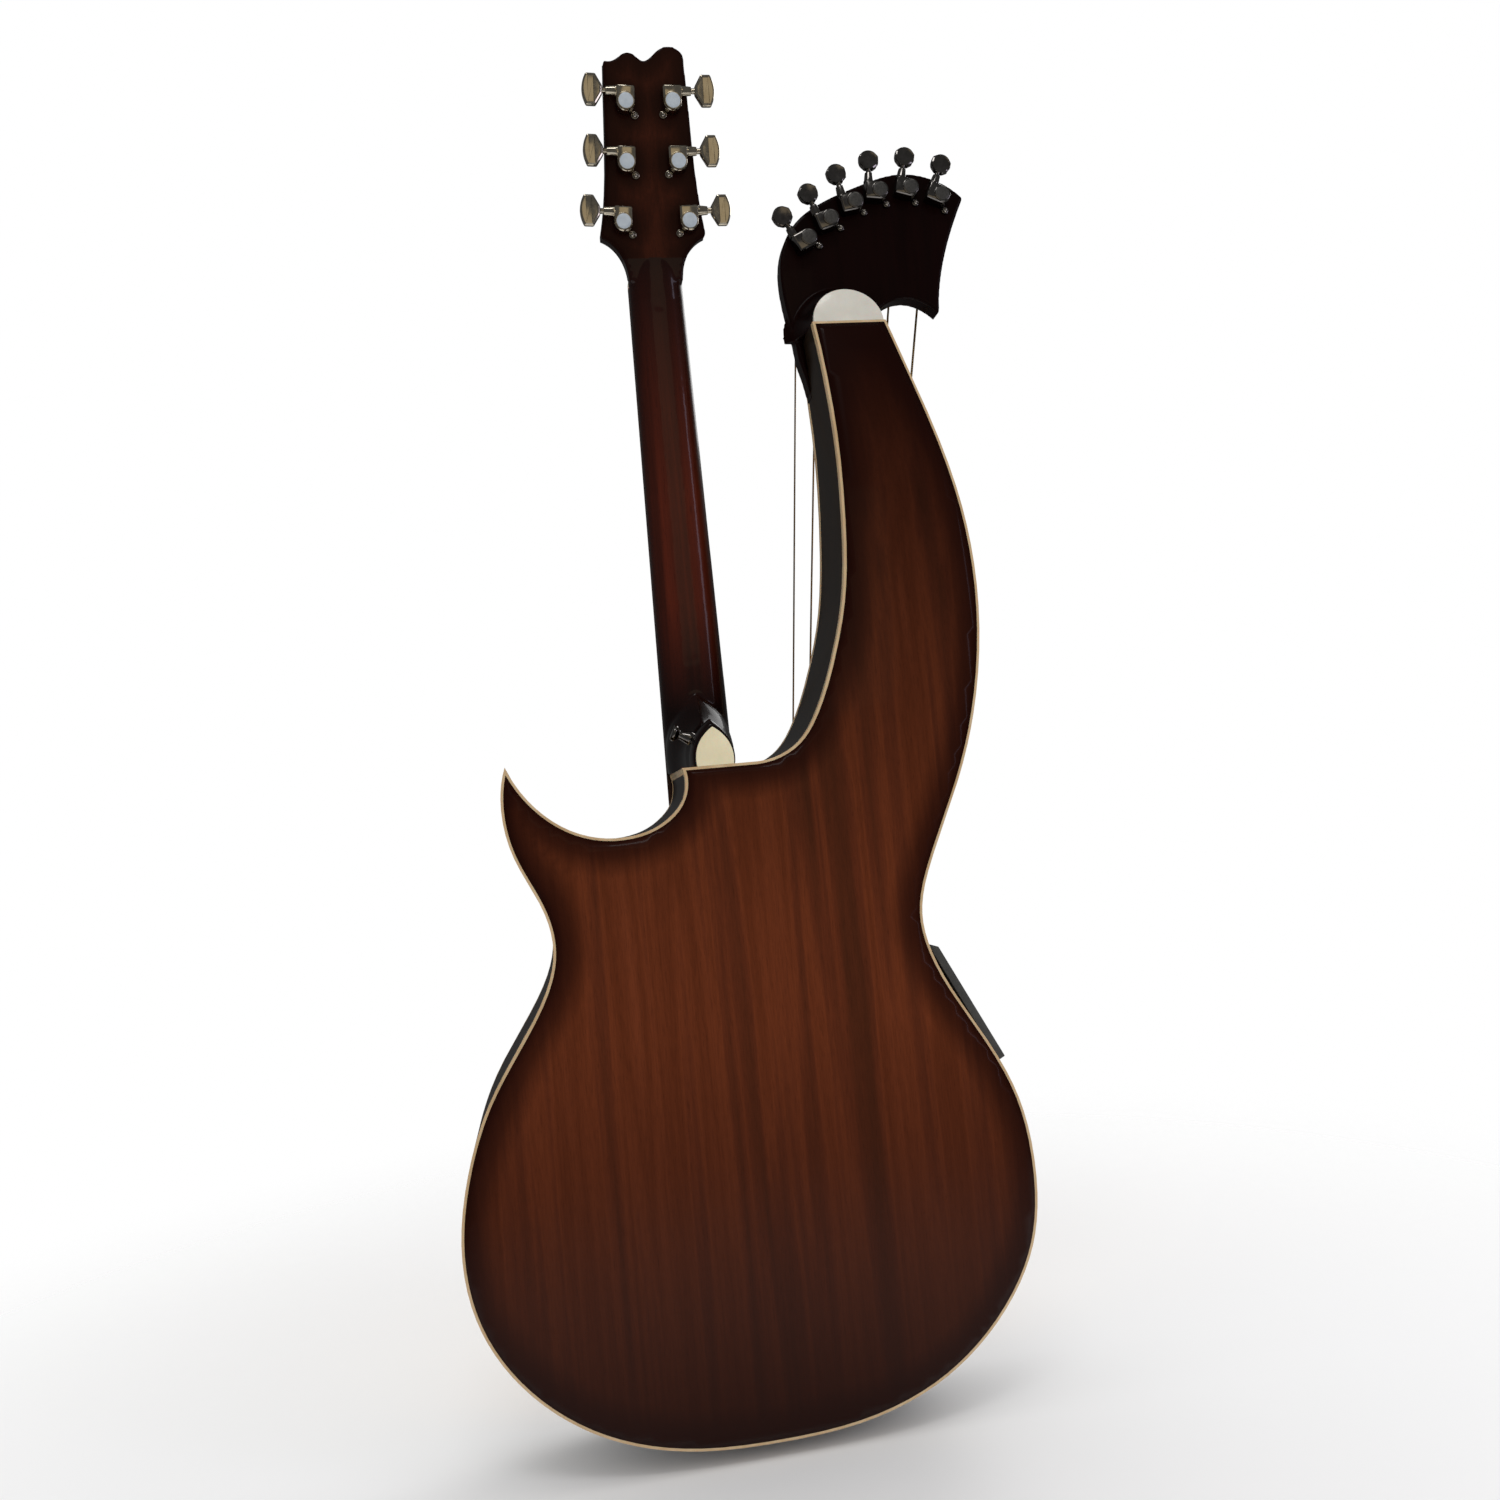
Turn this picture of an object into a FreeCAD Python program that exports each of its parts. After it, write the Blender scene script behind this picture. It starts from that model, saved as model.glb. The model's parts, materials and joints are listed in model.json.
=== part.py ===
import FreeCAD, Part
import os
from FreeCAD import Placement, Rotation, Vector

# A harp guitar: a six-string neck with a cutaway, and a hollow harp arm that carries six
# sub-bass strings. Millimetres. The origin is the middle of the neck at the nut, on the plane
# of the soundboard. +Z runs up the neck to the headstock, -Y is the front (string) side, +Y is
# the back, +X is the treble side with the cutaway horn, and -X is the bass side with the arm.

sizes = {
    "scaleLength": 650, "fretCount": 21, "bodyEdge": 408, "bodyLength": 485,
    "plateThick": 3, "sideThick": 2.5, "bindingWide": 2, "bindingTall": 7,
    "liningWide": 7, "liningTall": 14, "depthTail": 108, "depthHeel": 99,
    "soundholeWide": 96, "soundholeDrop": 512, "rosetteWide": 9, "rosetteThick": 1,
    "nutWide": 45, "boardWideAtBody": 54.6, "boardThick": 6, "boardLong": 458, "boardArch": 400,
    "neckThick": 15, "neckThickAtBody": 18, "fretWide": 2.4, "fretTall": 1.1,
    "nutLong": 5, "nutTall": 8.4, "headTilt": 12, "headThick": 13, "veneerThick": 2,
    "heelCapThick": 4, "rodWide": 6, "rodDeep": 9, "rodLong": 395,
    "harpHeadFront": 2, "harpHeadThick": 17, "armEnd": 57, "armEndRound": 29,
    "bridgeTall": 8, "saddleWide": 3, "saddleTall": 4, "pinRadius": 2.5,
    "mainSpread": 54, "harpSpread": 52.8, "harpNear": 54.2,
    "postRadius": 3, "postRise": 15, "shaftRadius": 1.6, "runClearance": 0.05,
    "housingWide": 15.4, "housingTall": 11, "wormOffset": 8.6, "wormRise": 5.6,
    "gearRadius": 5.4, "wormRadius": 2.7, "bushingRadius": 5,
    "jackBore": 3.2, "jackDepth": 26, "jackRadius": 5.5,
    "panelLong": 98, "panelTall": 44, "panelThick": 4,
}

doc = FreeCAD.newDocument("HarpGuitar")
sheet = doc.addObject("Spreadsheet::Sheet", "Sizes")
for row, (alias, value) in enumerate(sizes.items(), start=1):
    sheet.set(f"A{row}", alias)
    sheet.set(f"B{row}", str(value))
    sheet.setAlias(f"B{row}", alias)
doc.recompute()

size = {alias: sheet.get(alias) for alias in sizes}
parts = []
towardBack, towardFront = (0, 1, 0), (0, -1, 0)


# ---- small helpers ----

def subPart(item, label):
    """Names a finished sub-part and puts it on the export list."""
    item.Label = label
    parts.append(item)
    return item


def bind(item, prop, rule):
    item.setExpression(prop, rule)


def flatSketch(name, depth=0.0):
    """A sketch facing the front, at the given Y: its x is X and its y is Z."""
    sketch = doc.addObject("Sketcher::SketchObject", name)
    sketch.Placement = Placement(Vector(0, depth, 0), Rotation(Vector(1, 0, 0), 90))
    return sketch


def spline(points, **ends):
    curve = Part.BSplineCurve()
    curve.interpolate([Vector(x, y, 0) for x, y in points], **ends)
    return curve


def movedInward(curve, gap):
    """A curve moved to the right of its own direction."""
    first, last = curve.FirstParameter, curve.LastParameter
    count = max(1, round(curve.length() / 15))
    points = []
    for step in range(count + 1):
        at = first + (last - first) * step / count
        along = curve.tangent(at)[0]
        point = curve.value(at)
        points.append((point.x + gap * along.y, point.y - gap * along.x))
    return spline(points)


def insetCurves(curves, gap):
    """A clockwise closed line moved inwards, its curves trimmed where neighbours cross."""
    moved = [movedInward(curve, gap) for curve in curves]
    for here, after in zip(moved, moved[1:] + moved[:1]):
        if here.EndPoint.distanceToPoint(after.StartPoint) < 1e-6:
            continue
        meets = here.intersectCC(after)
        meet = min(meets, key=lambda spot: here.EndPoint.distanceToPoint(Vector(spot.X, spot.Y, spot.Z)))
        place = Vector(meet.X, meet.Y, meet.Z)
        here.segment(here.FirstParameter, here.parameter(place))
        after.segment(after.parameter(place), after.LastParameter)
    return moved


def line(start, end):
    return Part.LineSegment(Vector(*start, 0), Vector(*end, 0))


def polygon(points):
    return [line(a, b) for a, b in zip(points, points[1:] + points[:1])]


def extrude(name, base, direction, rule):
    """A solid from a closed outline, or from a face, along a direction."""
    solid = doc.addObject("Part::Extrusion", name)
    solid.Base = base
    solid.DirMode = "Custom"
    solid.Dir = Vector(*direction)
    solid.Solid = True
    bind(solid, "LengthFwd", rule)
    return solid


def combine(kind, name, base, tool):
    result = doc.addObject(f"Part::{kind}", name)
    result.Base = base
    result.Tool = tool
    return result


def cut(name, base, tool):
    return combine("Cut", name, base, tool)


def common(name, base, tool):
    return combine("Common", name, base, tool)


def fuse(name, items):
    result = doc.addObject("Part::MultiFuse", name)
    result.Shapes = items
    return result


def group(name, items):
    result = doc.addObject("Part::Compound", name)
    result.Links = items
    return result


def box(name, low, high):
    item = doc.addObject("Part::Box", name)
    item.Length, item.Width, item.Height = [b - a for a, b in zip(low, high)]
    item.Placement = Placement(Vector(*low), Rotation())
    return item


def rod(name, start, direction, radius, length):
    """A cylinder from a start point along a direction."""
    item = doc.addObject("Part::Cylinder", name)
    item.Radius = radius
    item.Height = length
    item.Placement = Placement(Vector(*start), Rotation(Vector(0, 0, 1), Vector(*direction)))
    return item


# ---- body outline: one closed line round the body and the harp arm, horn tip first ----

bodyEdge = size["bodyEdge"]
tail = bodyEdge + size["bodyLength"]
armEnd = size["armEnd"]
corner = (25.3, -bodyEdge)
hornTip = (153.5, 11.5 - bodyEdge)
armLow = (-24, -bodyEdge)
armTip = (-178, -armEnd)
armInner = (-117, -armEnd)

cutaway = [corner, (23.9, -419), (26.8, -431), (35, -441), (48, -449.5), (66, -454.3),
           (90, -453.5), (111, -446), (131, -431), (144, -415), hornTip]
trebleToArm = [hornTip, (158.5, -424), (152, -463), (134, -504), (130, -532), (149, -580),
               (183, -632), (203, -684), (210, -727), (202, -783), (172, -832), (120, -871),
               (62, -889), (0, -tail), (-62, -889), (-120, -871), (-172, -832), (-203, -783),
               (-211, -727), (-204, -676), (-177, -618), (-151, -567), (-145, -534),
               (-157, -493), (-188, -427), (-209, -360), (-218.5, -283), (-215, -215),
               (-200, -141), armTip]
armToHeel = [armInner, (-120.5, -110), (-121.5, -160), (-118.5, -225), (-110, -290),
             (-97, -334), (-80, -374), (-61, -398), (-42, -406.5), armLow]
level = Vector(1, 0, 0)
outlineCurves = [spline(cutaway), spline(trebleToArm), spline([armTip, armInner]),
                 spline(armToHeel, InitialTangent=Vector(-0.1, -1, 0), FinalTangent=level),
                 spline([armLow, corner])]


def insetPrism(name, gap):
    """A column with the body's outline, smaller by gap all round, from front to back."""
    sketch = flatSketch(name + "Outline")
    sketch.addGeometry(insetCurves(outlineCurves, gap) if gap else outlineCurves)
    return extrude(name, sketch, towardBack, "Sizes.depthTail + 10")


outerPrism = insetPrism("OuterPrism", 0)
bindingPrism = insetPrism("BindingPrism", size["bindingWide"])
sidePrism = insetPrism("SidePrism", size["sideThick"])
liningPrism = insetPrism("LiningPrism", size["sideThick"] + size["liningWide"])

# The back is straight over the body and curves forward along the arm, to the arm's end.
backTail = Vector(size["depthTail"], -tail - 10, 0)
backJoint = Vector(size["depthHeel"], -bodyEdge, 0)
backTip = Vector(46, -5, 0)


def tangentArc(start, along, end):
    """The arc that leaves start in the given direction and stops at end."""
    chord = end - start
    square = Vector(-along.y, along.x, 0).normalize()
    radius = chord.dot(chord) / (2 * chord.dot(square))
    centre = start + square * radius
    outward = ((start + end) / 2 - centre).normalize()
    return Part.Arc(start, centre + outward * abs(radius), end)


def layer(name, near, far, level=False):
    """The space inside the back from near to far in front of it, or to Y far if level."""
    def lifted(point, distance):
        return point - Vector(distance, 0, 0)

    points = [lifted(point, near) for point in (backTail, backJoint, backTip)]
    curves = [Part.LineSegment(points[0], points[1]),
              tangentArc(points[1], points[1] - points[0], points[2])]
    if level:
        ends = [Vector(far, points[2].y, 0), Vector(far, points[0].y, 0)]
        curves.append(Part.LineSegment(ends[0], ends[1]))
    else:
        under = [lifted(point, far) for point in (backTail, backJoint, backTip)]
        ends = [under[2], under[0]]
        curves += [tangentArc(under[1], under[1] - under[0], under[2]),
                   Part.LineSegment(under[1], under[0])]
    curves += [Part.LineSegment(points[2], ends[0]), Part.LineSegment(ends[1], points[0])]
    sketch = doc.addObject("Sketcher::SketchObject", name + "Side")
    sketch.Placement = Placement(Vector(-300, 0, 0), Rotation(Vector(1, 1, 1), 120))
    sketch.addGeometry(curves)
    return extrude(name, sketch, (1, 0, 0), "600")


plate, binding = size["plateThick"], size["bindingTall"]
plateLayer = layer("PlateLayer", 0, plate)
bindingLayer = layer("BindingLayer", 0, binding)
liningLayer = layer("LiningLayer", plate, plate + size["liningTall"])
sideLayer = layer("SideLayer", binding, binding, level=True)
insideLayer = layer("InsideLayer", plate, plate, level=True)
capLayer = layer("CapLayer", 0, size["heelCapThick"])
behindCaps = layer("BehindCaps", -30, size["heelCapThick"])


def frontBand(name, start, end):
    """Everything between two distances behind the soundboard's face."""
    return box(name, (-300, start, -1000), (300, end, 100))


# ---- soundbox ----

def makeSoundbox(preampCase):
    hole = rod("Soundhole", (0, -1, -size["soundholeDrop"]), towardBack, 10, 9)
    bind(hole, "Radius", "Sizes.soundholeWide / 2")
    ringHole = rod("RosetteOuter", (0, 0, -size["soundholeDrop"]), towardBack, 10, 9)
    bind(ringHole, "Radius", "Sizes.soundholeWide / 2 + Sizes.rosetteWide + 3")
    bind(ringHole, "Height", "Sizes.rosetteThick")
    ringCore = rod("RosetteInner", (0, -1, -size["soundholeDrop"]), towardBack, 10, 9)
    bind(ringCore, "Radius", "Sizes.soundholeWide / 2 + 3")
    rosette = subPart(cut("RosetteRing", ringHole, ringCore), "rosette")
    top = common("TopPlate", bindingPrism, frontBand("TopBand", 0, plate))
    pierced = cut("PiercedTop", top, hole)
    subPart(cut("GroovedTop", pierced, rosette), "soundboard")
    subPart(common("BackPlate", bindingPrism, plateLayer), "back_plate")

    bindingRing = cut("BindingRing", outerPrism, bindingPrism)
    subPart(common("FrontBinding", bindingRing, frontBand("BindingBand", 0, binding)),
            "front_binding")
    subPart(common("BackBinding", bindingRing, bindingLayer), "back_binding")

    sideRing = cut("SideRing", outerPrism, sidePrism)
    sides = common("Sides", sideRing, sideLayer)
    stripBox = box("StripBox", (20, 0, -bodyEdge - 5), (27, 200, -bodyEdge + 1))
    subPart(common("CornerStrip", sides, stripBox), "corner_strip")
    jackHole = rod("JackHole", (0, size["depthTail"] / 2, -tail - 5), (0, 0, 1), 10, 40)
    bind(jackHole, "Radius", "Sizes.jackRadius")
    sideTools = fuse("SideTools", [stripBox, jackHole, preampCase])
    subPart(cut("OpenSides", sides, sideTools), "side_rim")

    hollow = common("Hollow", sidePrism, insideLayer)
    neckBlockBox = box("NeckBlockBox", (-38, 0, -bodyEdge - 44), (19, 200, -bodyEdge))
    tailBlockBox = box("TailBlockBox", (-42, 0, -tail), (42, 200, -tail + 22))
    subPart(common("NeckBlock", hollow, neckBlockBox), "neck_block")
    tailBlock = common("TailBlockSolid", hollow, tailBlockBox)
    subPart(cut("TailBlock", tailBlock, jackHole), "tail_block")

    liningRing = cut("LiningRing", sidePrism, liningPrism)
    frontLining = common("FrontLining", liningRing,
                         frontBand("LiningBand", plate, plate + size["liningTall"]))
    backLining = common("BackLining", liningRing, liningLayer)
    blocks = fuse("Blocks", [neckBlockBox, tailBlockBox])
    subPart(group("Linings", [cut("FrontLiningCut", frontLining, blocks),
                              cut("BackLiningCut", backLining, blocks)]), "linings")

    # Two crossed bars and a plate under the bridge hold the top, five cross bars the back.
    braceWide, braceTall = 7, 13
    crossing = -600
    bars = []
    for turn in (-1, 1):
        bar = box(f"TopBar{turn + 2}", (0, 0, 0), (340, braceTall, braceWide))
        lean = Rotation(Vector(0, 1, 0), 48 * turn)
        middle = lean.multVec(Vector(170, 0, braceWide / 2))
        bar.Placement = Placement(Vector(0, plate, crossing) - middle, lean)
        bars.append(bar)
    crossBars = fuse("CrossBars", bars)
    topBraces = common("TopBraces", crossBars, liningPrism)
    backBars = [box(f"BackBar{spot}", (-250, 40, z), (250, 140, z + braceWide))
                for spot, z in enumerate((-480, -560, -640, -720, -800), start=1)]
    backBraces = common("BackBars", fuse("BackBarsLong", backBars), liningPrism)
    subPart(group("Braces", [topBraces, common("BackBraces", backBraces, liningLayer)]), "braces")


# ---- neck, fretboard and main headstock ----

def fretSpot(number):
    """How far below the nut a fret lies."""
    return size["scaleLength"] * (1 - 2 ** (-number / 12))


def boardWidth(drop):
    """The fretboard's width at a distance below the nut."""
    return size["nutWide"] + (size["boardWideAtBody"] - size["nutWide"]) * drop / bodyEdge


def crossSketch(name, height):
    """A sketch across the neck at the given Z: its x is X and its y is Y."""
    sketch = doc.addObject("Sketcher::SketchObject", name)
    sketch.Placement = Placement(Vector(0, 0, height), Rotation())
    return sketch


def loft(name, sections, ruled=False):
    solid = doc.addObject("Part::Loft", name)
    solid.Sections = sections
    solid.Solid = True
    solid.Ruled = ruled
    return solid


def neckSection(name, drop, thick):
    """A rounded C profile, flat on the fretboard side."""
    half = boardWidth(drop) / 2
    section = crossSketch(name, -drop)
    curve = [(half, 0), (half * 0.97, thick * 0.33), (half * 0.75, thick * 0.75), (0, thick),
             (-half * 0.75, thick * 0.75), (-half * 0.97, thick * 0.33), (-half, 0)]
    section.addGeometry([spline(curve), line((-half, 0), (half, 0))])
    return section


tilt = Rotation(Vector(1, 0, 0), -size["headTilt"])
headBase = Placement(Vector(0, 0, size["nutLong"]), tilt)


def headSketch(name, rise):
    """A sketch on the tilted headstock, the given distance behind its front face."""
    sketch = doc.addObject("Sketcher::SketchObject", name)
    flat = Placement(Vector(0, rise, 0), Rotation(Vector(1, 0, 0), 90))
    sketch.Placement = headBase.multiply(flat)
    return sketch


# The headstock's outline, in its own plane, from the nut upwards; the crest is two humps.
headSide = [(22.6, -3), (24.6, 11), (30.2, 22), (43, 32)]
trebleSide = [(43, 36), (37.6, 66), (33.5, 120), (31, 169)]
crest = [(31, 169), (20.5, 170), (12.5, 174.5), (6, 173), (-1, 168), (-9, 172.5), (-16.5, 178),
         (-24, 179), (-31, 176), (-34.4, 166)]
bassSide = [(-34.4, 166), (-36, 130), (-38, 85), (-43.5, 36)]


def headOutline(sketch, low=-3):
    """Closes the outline at the nut, or higher up for the veneer on the front."""
    start = [(22.6, low)] + headSide[1:]
    mirrored = [(-x, y) for x, y in start]
    sketch.addGeometry([
        spline(start), line(start[-1], trebleSide[0]), spline(trebleSide), spline(crest),
        spline(bassSide), line(bassSide[-1], mirrored[-1]), spline(mirrored[::-1]),
        line(mirrored[0], start[0])])


headBack = tilt.multVec(Vector(0, 1, 0))


# Each tuner has a frame of its own: its origin is where the string post leaves the back of the
# head, X runs out along the button's shaft and Y points away from the wood. hand is 1 where
# the worm lies on the +Z side of the post and -1 where it lies on the other.
screwSpot = (-7.7, -7.9)
screwRadius, screwLong = 1.2, 8


def tunerPlaces(spots, base, thick):
    """Pairs of a tuner's frame and its hand, from X, Z and the turn of its shaft."""
    places = []
    for x, z, turn, hand in spots:
        local = Placement(Vector(x, thick, z), Rotation(Vector(0, 1, 0), turn))
        places.append((base.multiply(local), hand))
    return places


def tunerHoles(name, places):
    """The holes for the tuners' bushings and for their screws."""
    holes = []
    upward = Rotation(Vector(0, 0, 1), Vector(0, 1, 0))
    for number, (frame, hand) in enumerate(places, start=1):
        hole = doc.addObject("Part::Cylinder", f"{name}{number}")
        bind(hole, "Radius", "Sizes.bushingRadius")
        hole.Height = 30
        hole.Placement = frame.multiply(Placement(Vector(0, -25, 0), upward))
        screw = doc.addObject("Part::Cylinder", f"{name}Screw{number}")
        screw.Radius, screw.Height = screwRadius, screwLong
        across, along = screwSpot
        screw.Placement = frame.multiply(Placement(Vector(across, -screwLong, along * hand), upward))
        holes += [hole, screw]
    return fuse(name, holes)


# Post spots on the headstock, treble side first, from the nut upwards: X, height above the
# nut, turn of the shaft about the post, hand.
mainSpots = [(24.5, 42, -3, 1), (18.5, 88, -3, 1), (16, 134, -3, 1),
             (-29.5, 42, 180, -1), (-23.5, 88, 180, -1), (-22, 134, 180, -1)]
mainPlaces = tunerPlaces(mainSpots, headBase, size["headThick"] + size["veneerThick"])


def makeStrapButton():
    """A waisted button on the treble side of the heel, for the strap's upper end."""
    body = doc.addObject("PartDesign::Body", "StrapButtonBody")
    sketch = body.newObject("Sketcher::SketchObject", "StrapButtonSide")
    plane = [item for item in body.Origin.OriginFeatures if item.Role == "XZ_Plane"][0]
    sketch.AttachmentSupport = [(plane, "")]
    sketch.MapMode = "FlatFace"
    corners = [(0, -5), (4, -5), (5.4, 2), (3.4, 9), (3.4, 11), (6.3, 13.5), (6.5, 15), (5.8, 16.5),
               (0, 16.5)]
    sketch.addGeometry(polygon(corners))
    turned = body.newObject("PartDesign::Revolution", "StrapButtonTurned")
    turned.Profile = sketch
    turned.ReferenceAxis = (sketch, ["V_Axis"])
    turned.Angle = 360
    body.Placement = Placement(Vector(12, 66, -385), Rotation(Vector(0, 0, 1), Vector(0.92, 0, 0.4)))
    return subPart(body, "strap_button")


def makeNeck():
    thick, thickLow = size["neckThick"], size["neckThickAtBody"]
    shaft = loft("Shaft", [neckSection("NeckTop", 0, thick), neckSection("NeckMid", 200, 16.5),
                           neckSection("NeckLow", bodyEdge, thickLow)])
    stubTop = neckSection("StubTop", -12, thick + 1)
    stub = loft("NutEnd", [neckSection("StubLow", 0, thick), stubTop], ruled=True)
    plate = headSketch("HeadPlate", size["veneerThick"])
    headOutline(plate)
    head = extrude("Head", plate, headBack, "Sizes.headThick")
    volute = loft("Volute", [neckSection("VoluteLow", 14, thick + 0.4),
                             neckSection("VoluteMid", -2, thick + 2.4),
                             neckSection("VoluteTop", -20, thick + 3.4)])
    voluteBox = box("VoluteBox", (-23, 2, -14), (23, 40, 25))
    back = common("VoluteBack", volute, voluteBox)

    # The heel grows from the neck's back to the heel cap, in slices parallel to the back.
    slices = []
    for number, (depth, wide, top) in enumerate(
            [(6, 26.6, -338), (18, 26.2, -345), (34, 21.5, -364), (62, 17, -375),
             (96, 14, -379.5)], start=1):
        piece = flatSketch(f"HeelSlice{number}", depth)
        bottom = -bodyEdge
        shoulder = bottom + 0.45 * (top - bottom)
        side = [(wide, bottom), (wide * 0.94, shoulder), (0, top)]
        other = [(-x, z) for x, z in side[::-1]]
        piece.addGeometry([spline(side), spline(other), line(other[-1], side[0])])
        slices.append(piece)
    heelRoom = box("HeelRoom", (-40, 0, -bodyEdge), (40, 200, -300))
    heel = common("Heel", loft("HeelLoft", slices), heelRoom)

    wood = fuse("NeckWood", [shaft, stub, head, back, heel])
    channel = box("RodChannel", (-size["rodWide"] / 2, -1, 12 - size["rodLong"]),
                  (size["rodWide"] / 2, size["rodDeep"], 14))
    holes = tunerHoles("HeadHoles", mainPlaces)
    frontCut = box("FrontOfNeck", (-60, -30, -bodyEdge - 1), (60, 0, size["nutLong"]))
    headCut = box("FrontOfHead", (-60, -60, 0), (60, size["veneerThick"], 200))
    headCut.Placement = headBase.multiply(headCut.Placement)
    tools = fuse("NeckTools", [channel, holes, frontCut, headCut, makeStrapButton()])
    cleared = cut("NeckCleared", wood, tools)
    capSketch = flatSketch("HeelCapOutline", 60)
    side = [(13.8, -bodyEdge), (12.9, -bodyEdge + 13), (0, -379)]
    other = [(-x, z) for x, z in side[::-1]]
    capSketch.addGeometry([spline(side), spline(other), line(other[-1], side[0])])
    capPrism = extrude("HeelCapPrism", capSketch, towardBack, "Sizes.depthTail")
    cap = subPart(common("HeelCap", capPrism, capLayer), "heel_cap")
    subPart(cut("Neck", cleared, behindCaps), "neck")

    trussRod = box("TrussRod", (-size["rodWide"] / 2, 0.5, 12 - size["rodLong"]),
                   (size["rodWide"] / 2, size["rodDeep"], 8))
    subPart(trussRod, "truss_rod")
    return cap


def makeHeadFront():
    outlineSketch = headSketch("VeneerOutline", 0)
    headOutline(outlineSketch, low=1)
    sheetOfWood = extrude("VeneerPlate", outlineSketch, headBack, "Sizes.veneerThick")
    pocket = doc.addObject("Part::Box", "RodPocket")
    pocket.Length, pocket.Width, pocket.Height = 9, 6, 20
    pocket.Placement = headBase.multiply(Placement(Vector(-4.5, -2, 1), Rotation()))
    holes = tunerHoles("VeneerHoles", mainPlaces)
    nutSpace = box("NutSpace", (-30, -10, 0), (30, 10, size["nutLong"]))
    subPart(cut("Veneer", sheetOfWood, fuse("VeneerTools", [holes, pocket, nutSpace])),
            "head_veneer")

    coverSketch = headSketch("CoverOutline", -2)
    side = [(7, 2), (8.5, 10), (11.5, 20), (7, 32), (0, 36)]
    other = [(-x, z) for x, z in side[::-1]]
    coverSketch.addGeometry([spline(side), spline(other), line(other[-1], side[0])])
    subPart(extrude("Cover", coverSketch, headBack, "2"), "truss_rod_cover")


def makeFretboard():
    long, thick = size["boardLong"], size["boardThick"]
    board = flatSketch("BoardOutline", -thick)
    halfTop, halfLow = boardWidth(0) / 2, boardWidth(long) / 2
    board.addGeometry(polygon([(halfTop, 0), (-halfTop, 0), (-halfLow, -long), (halfLow, -long)]))
    blank = extrude("BoardBlank", board, towardBack, "Sizes.boardThick")
    arch = rod("BoardArch", (0, size["boardArch"] - thick, -long - 5), (0, 0, 1), 400, long + 10)
    bind(arch, "Radius", "Sizes.boardArch")
    rounded = common("RoundedBoard", blank, arch)

    dots = []
    for number in (3, 5, 7, 9, 12, 15, 17, 19):
        middle = (fretSpot(number - 1) + fretSpot(number)) / 2
        for x in ((-14, 14) if number == 12 else (0,)):
            dots.append(rod(f"Dot{number}{'L' if x < 0 else ''}", (x, -thick - 1, -middle),
                            towardBack, 3, 2.2))
    dotGroup = common("Dots", fuse("DotGroup", dots), arch)
    subPart(dotGroup, "fret_markers")
    subPart(cut("Fretboard", rounded, dotGroup), "fretboard")

    shell = cut("FretShell",
                rod("FretCrest", (0, size["boardArch"] - thick, -long - 5), (0, 0, 1),
                    size["boardArch"] + size["fretTall"], long + 10),
                rod("FretSeat", (0, size["boardArch"] - thick, -long - 6), (0, 0, 1),
                    size["boardArch"], long + 12))
    bars = []
    for number in range(1, int(size["fretCount"]) + 1):
        drop = fretSpot(number)
        half = boardWidth(drop) / 2 - 0.3
        low = -drop - size["fretWide"] / 2
        bars.append(box(f"FretBar{number}", (-half, -12, low), (half, 0, low + size["fretWide"])))
    subPart(common("Frets", shell, fuse("FretBars", bars)), "frets")


def makeNut():
    body = doc.addObject("PartDesign::Body", "NutBody")
    sketch = body.newObject("Sketcher::SketchObject", "NutSide")
    plane = [item for item in body.Origin.OriginFeatures if item.Role == "YZ_Plane"][0]
    sketch.AttachmentSupport = [(plane, "")]
    sketch.MapMode = "FlatFace"
    long, tall = size["nutLong"], size["nutTall"]
    sketch.addGeometry(polygon([(0, 0), (-tall, 0), (1.6 - tall, long), (0, long)]))
    pad = body.newObject("PartDesign::Pad", "NutPad")
    pad.Profile = sketch
    pad.Midplane = True
    bind(pad, "Length", "Sizes.nutWide - 0.4")
    subPart(body, "nut")


makeNeck()
makeHeadFront()
makeFretboard()
makeNut()


# ---- harp head at the end of the arm ----

# Post spots on the harp head, from the neck outwards: X, Z, turn of the shaft about the post,
# which is -90 where it points straight up, and hand.
harpSpots = [(-128.5, 27, -63, -1), (-149, 43.5, -72, -1), (-171.5, 58, -80, -1),
             (-194, 67, -95, -1), (-221, 69, -105, -1), (-248, 62.5, -114, -1)]
harpBase = Placement(Vector(0, size["harpHeadFront"], 0), Rotation())
harpPlaces = tunerPlaces(harpSpots, harpBase, size["harpHeadThick"])


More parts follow.
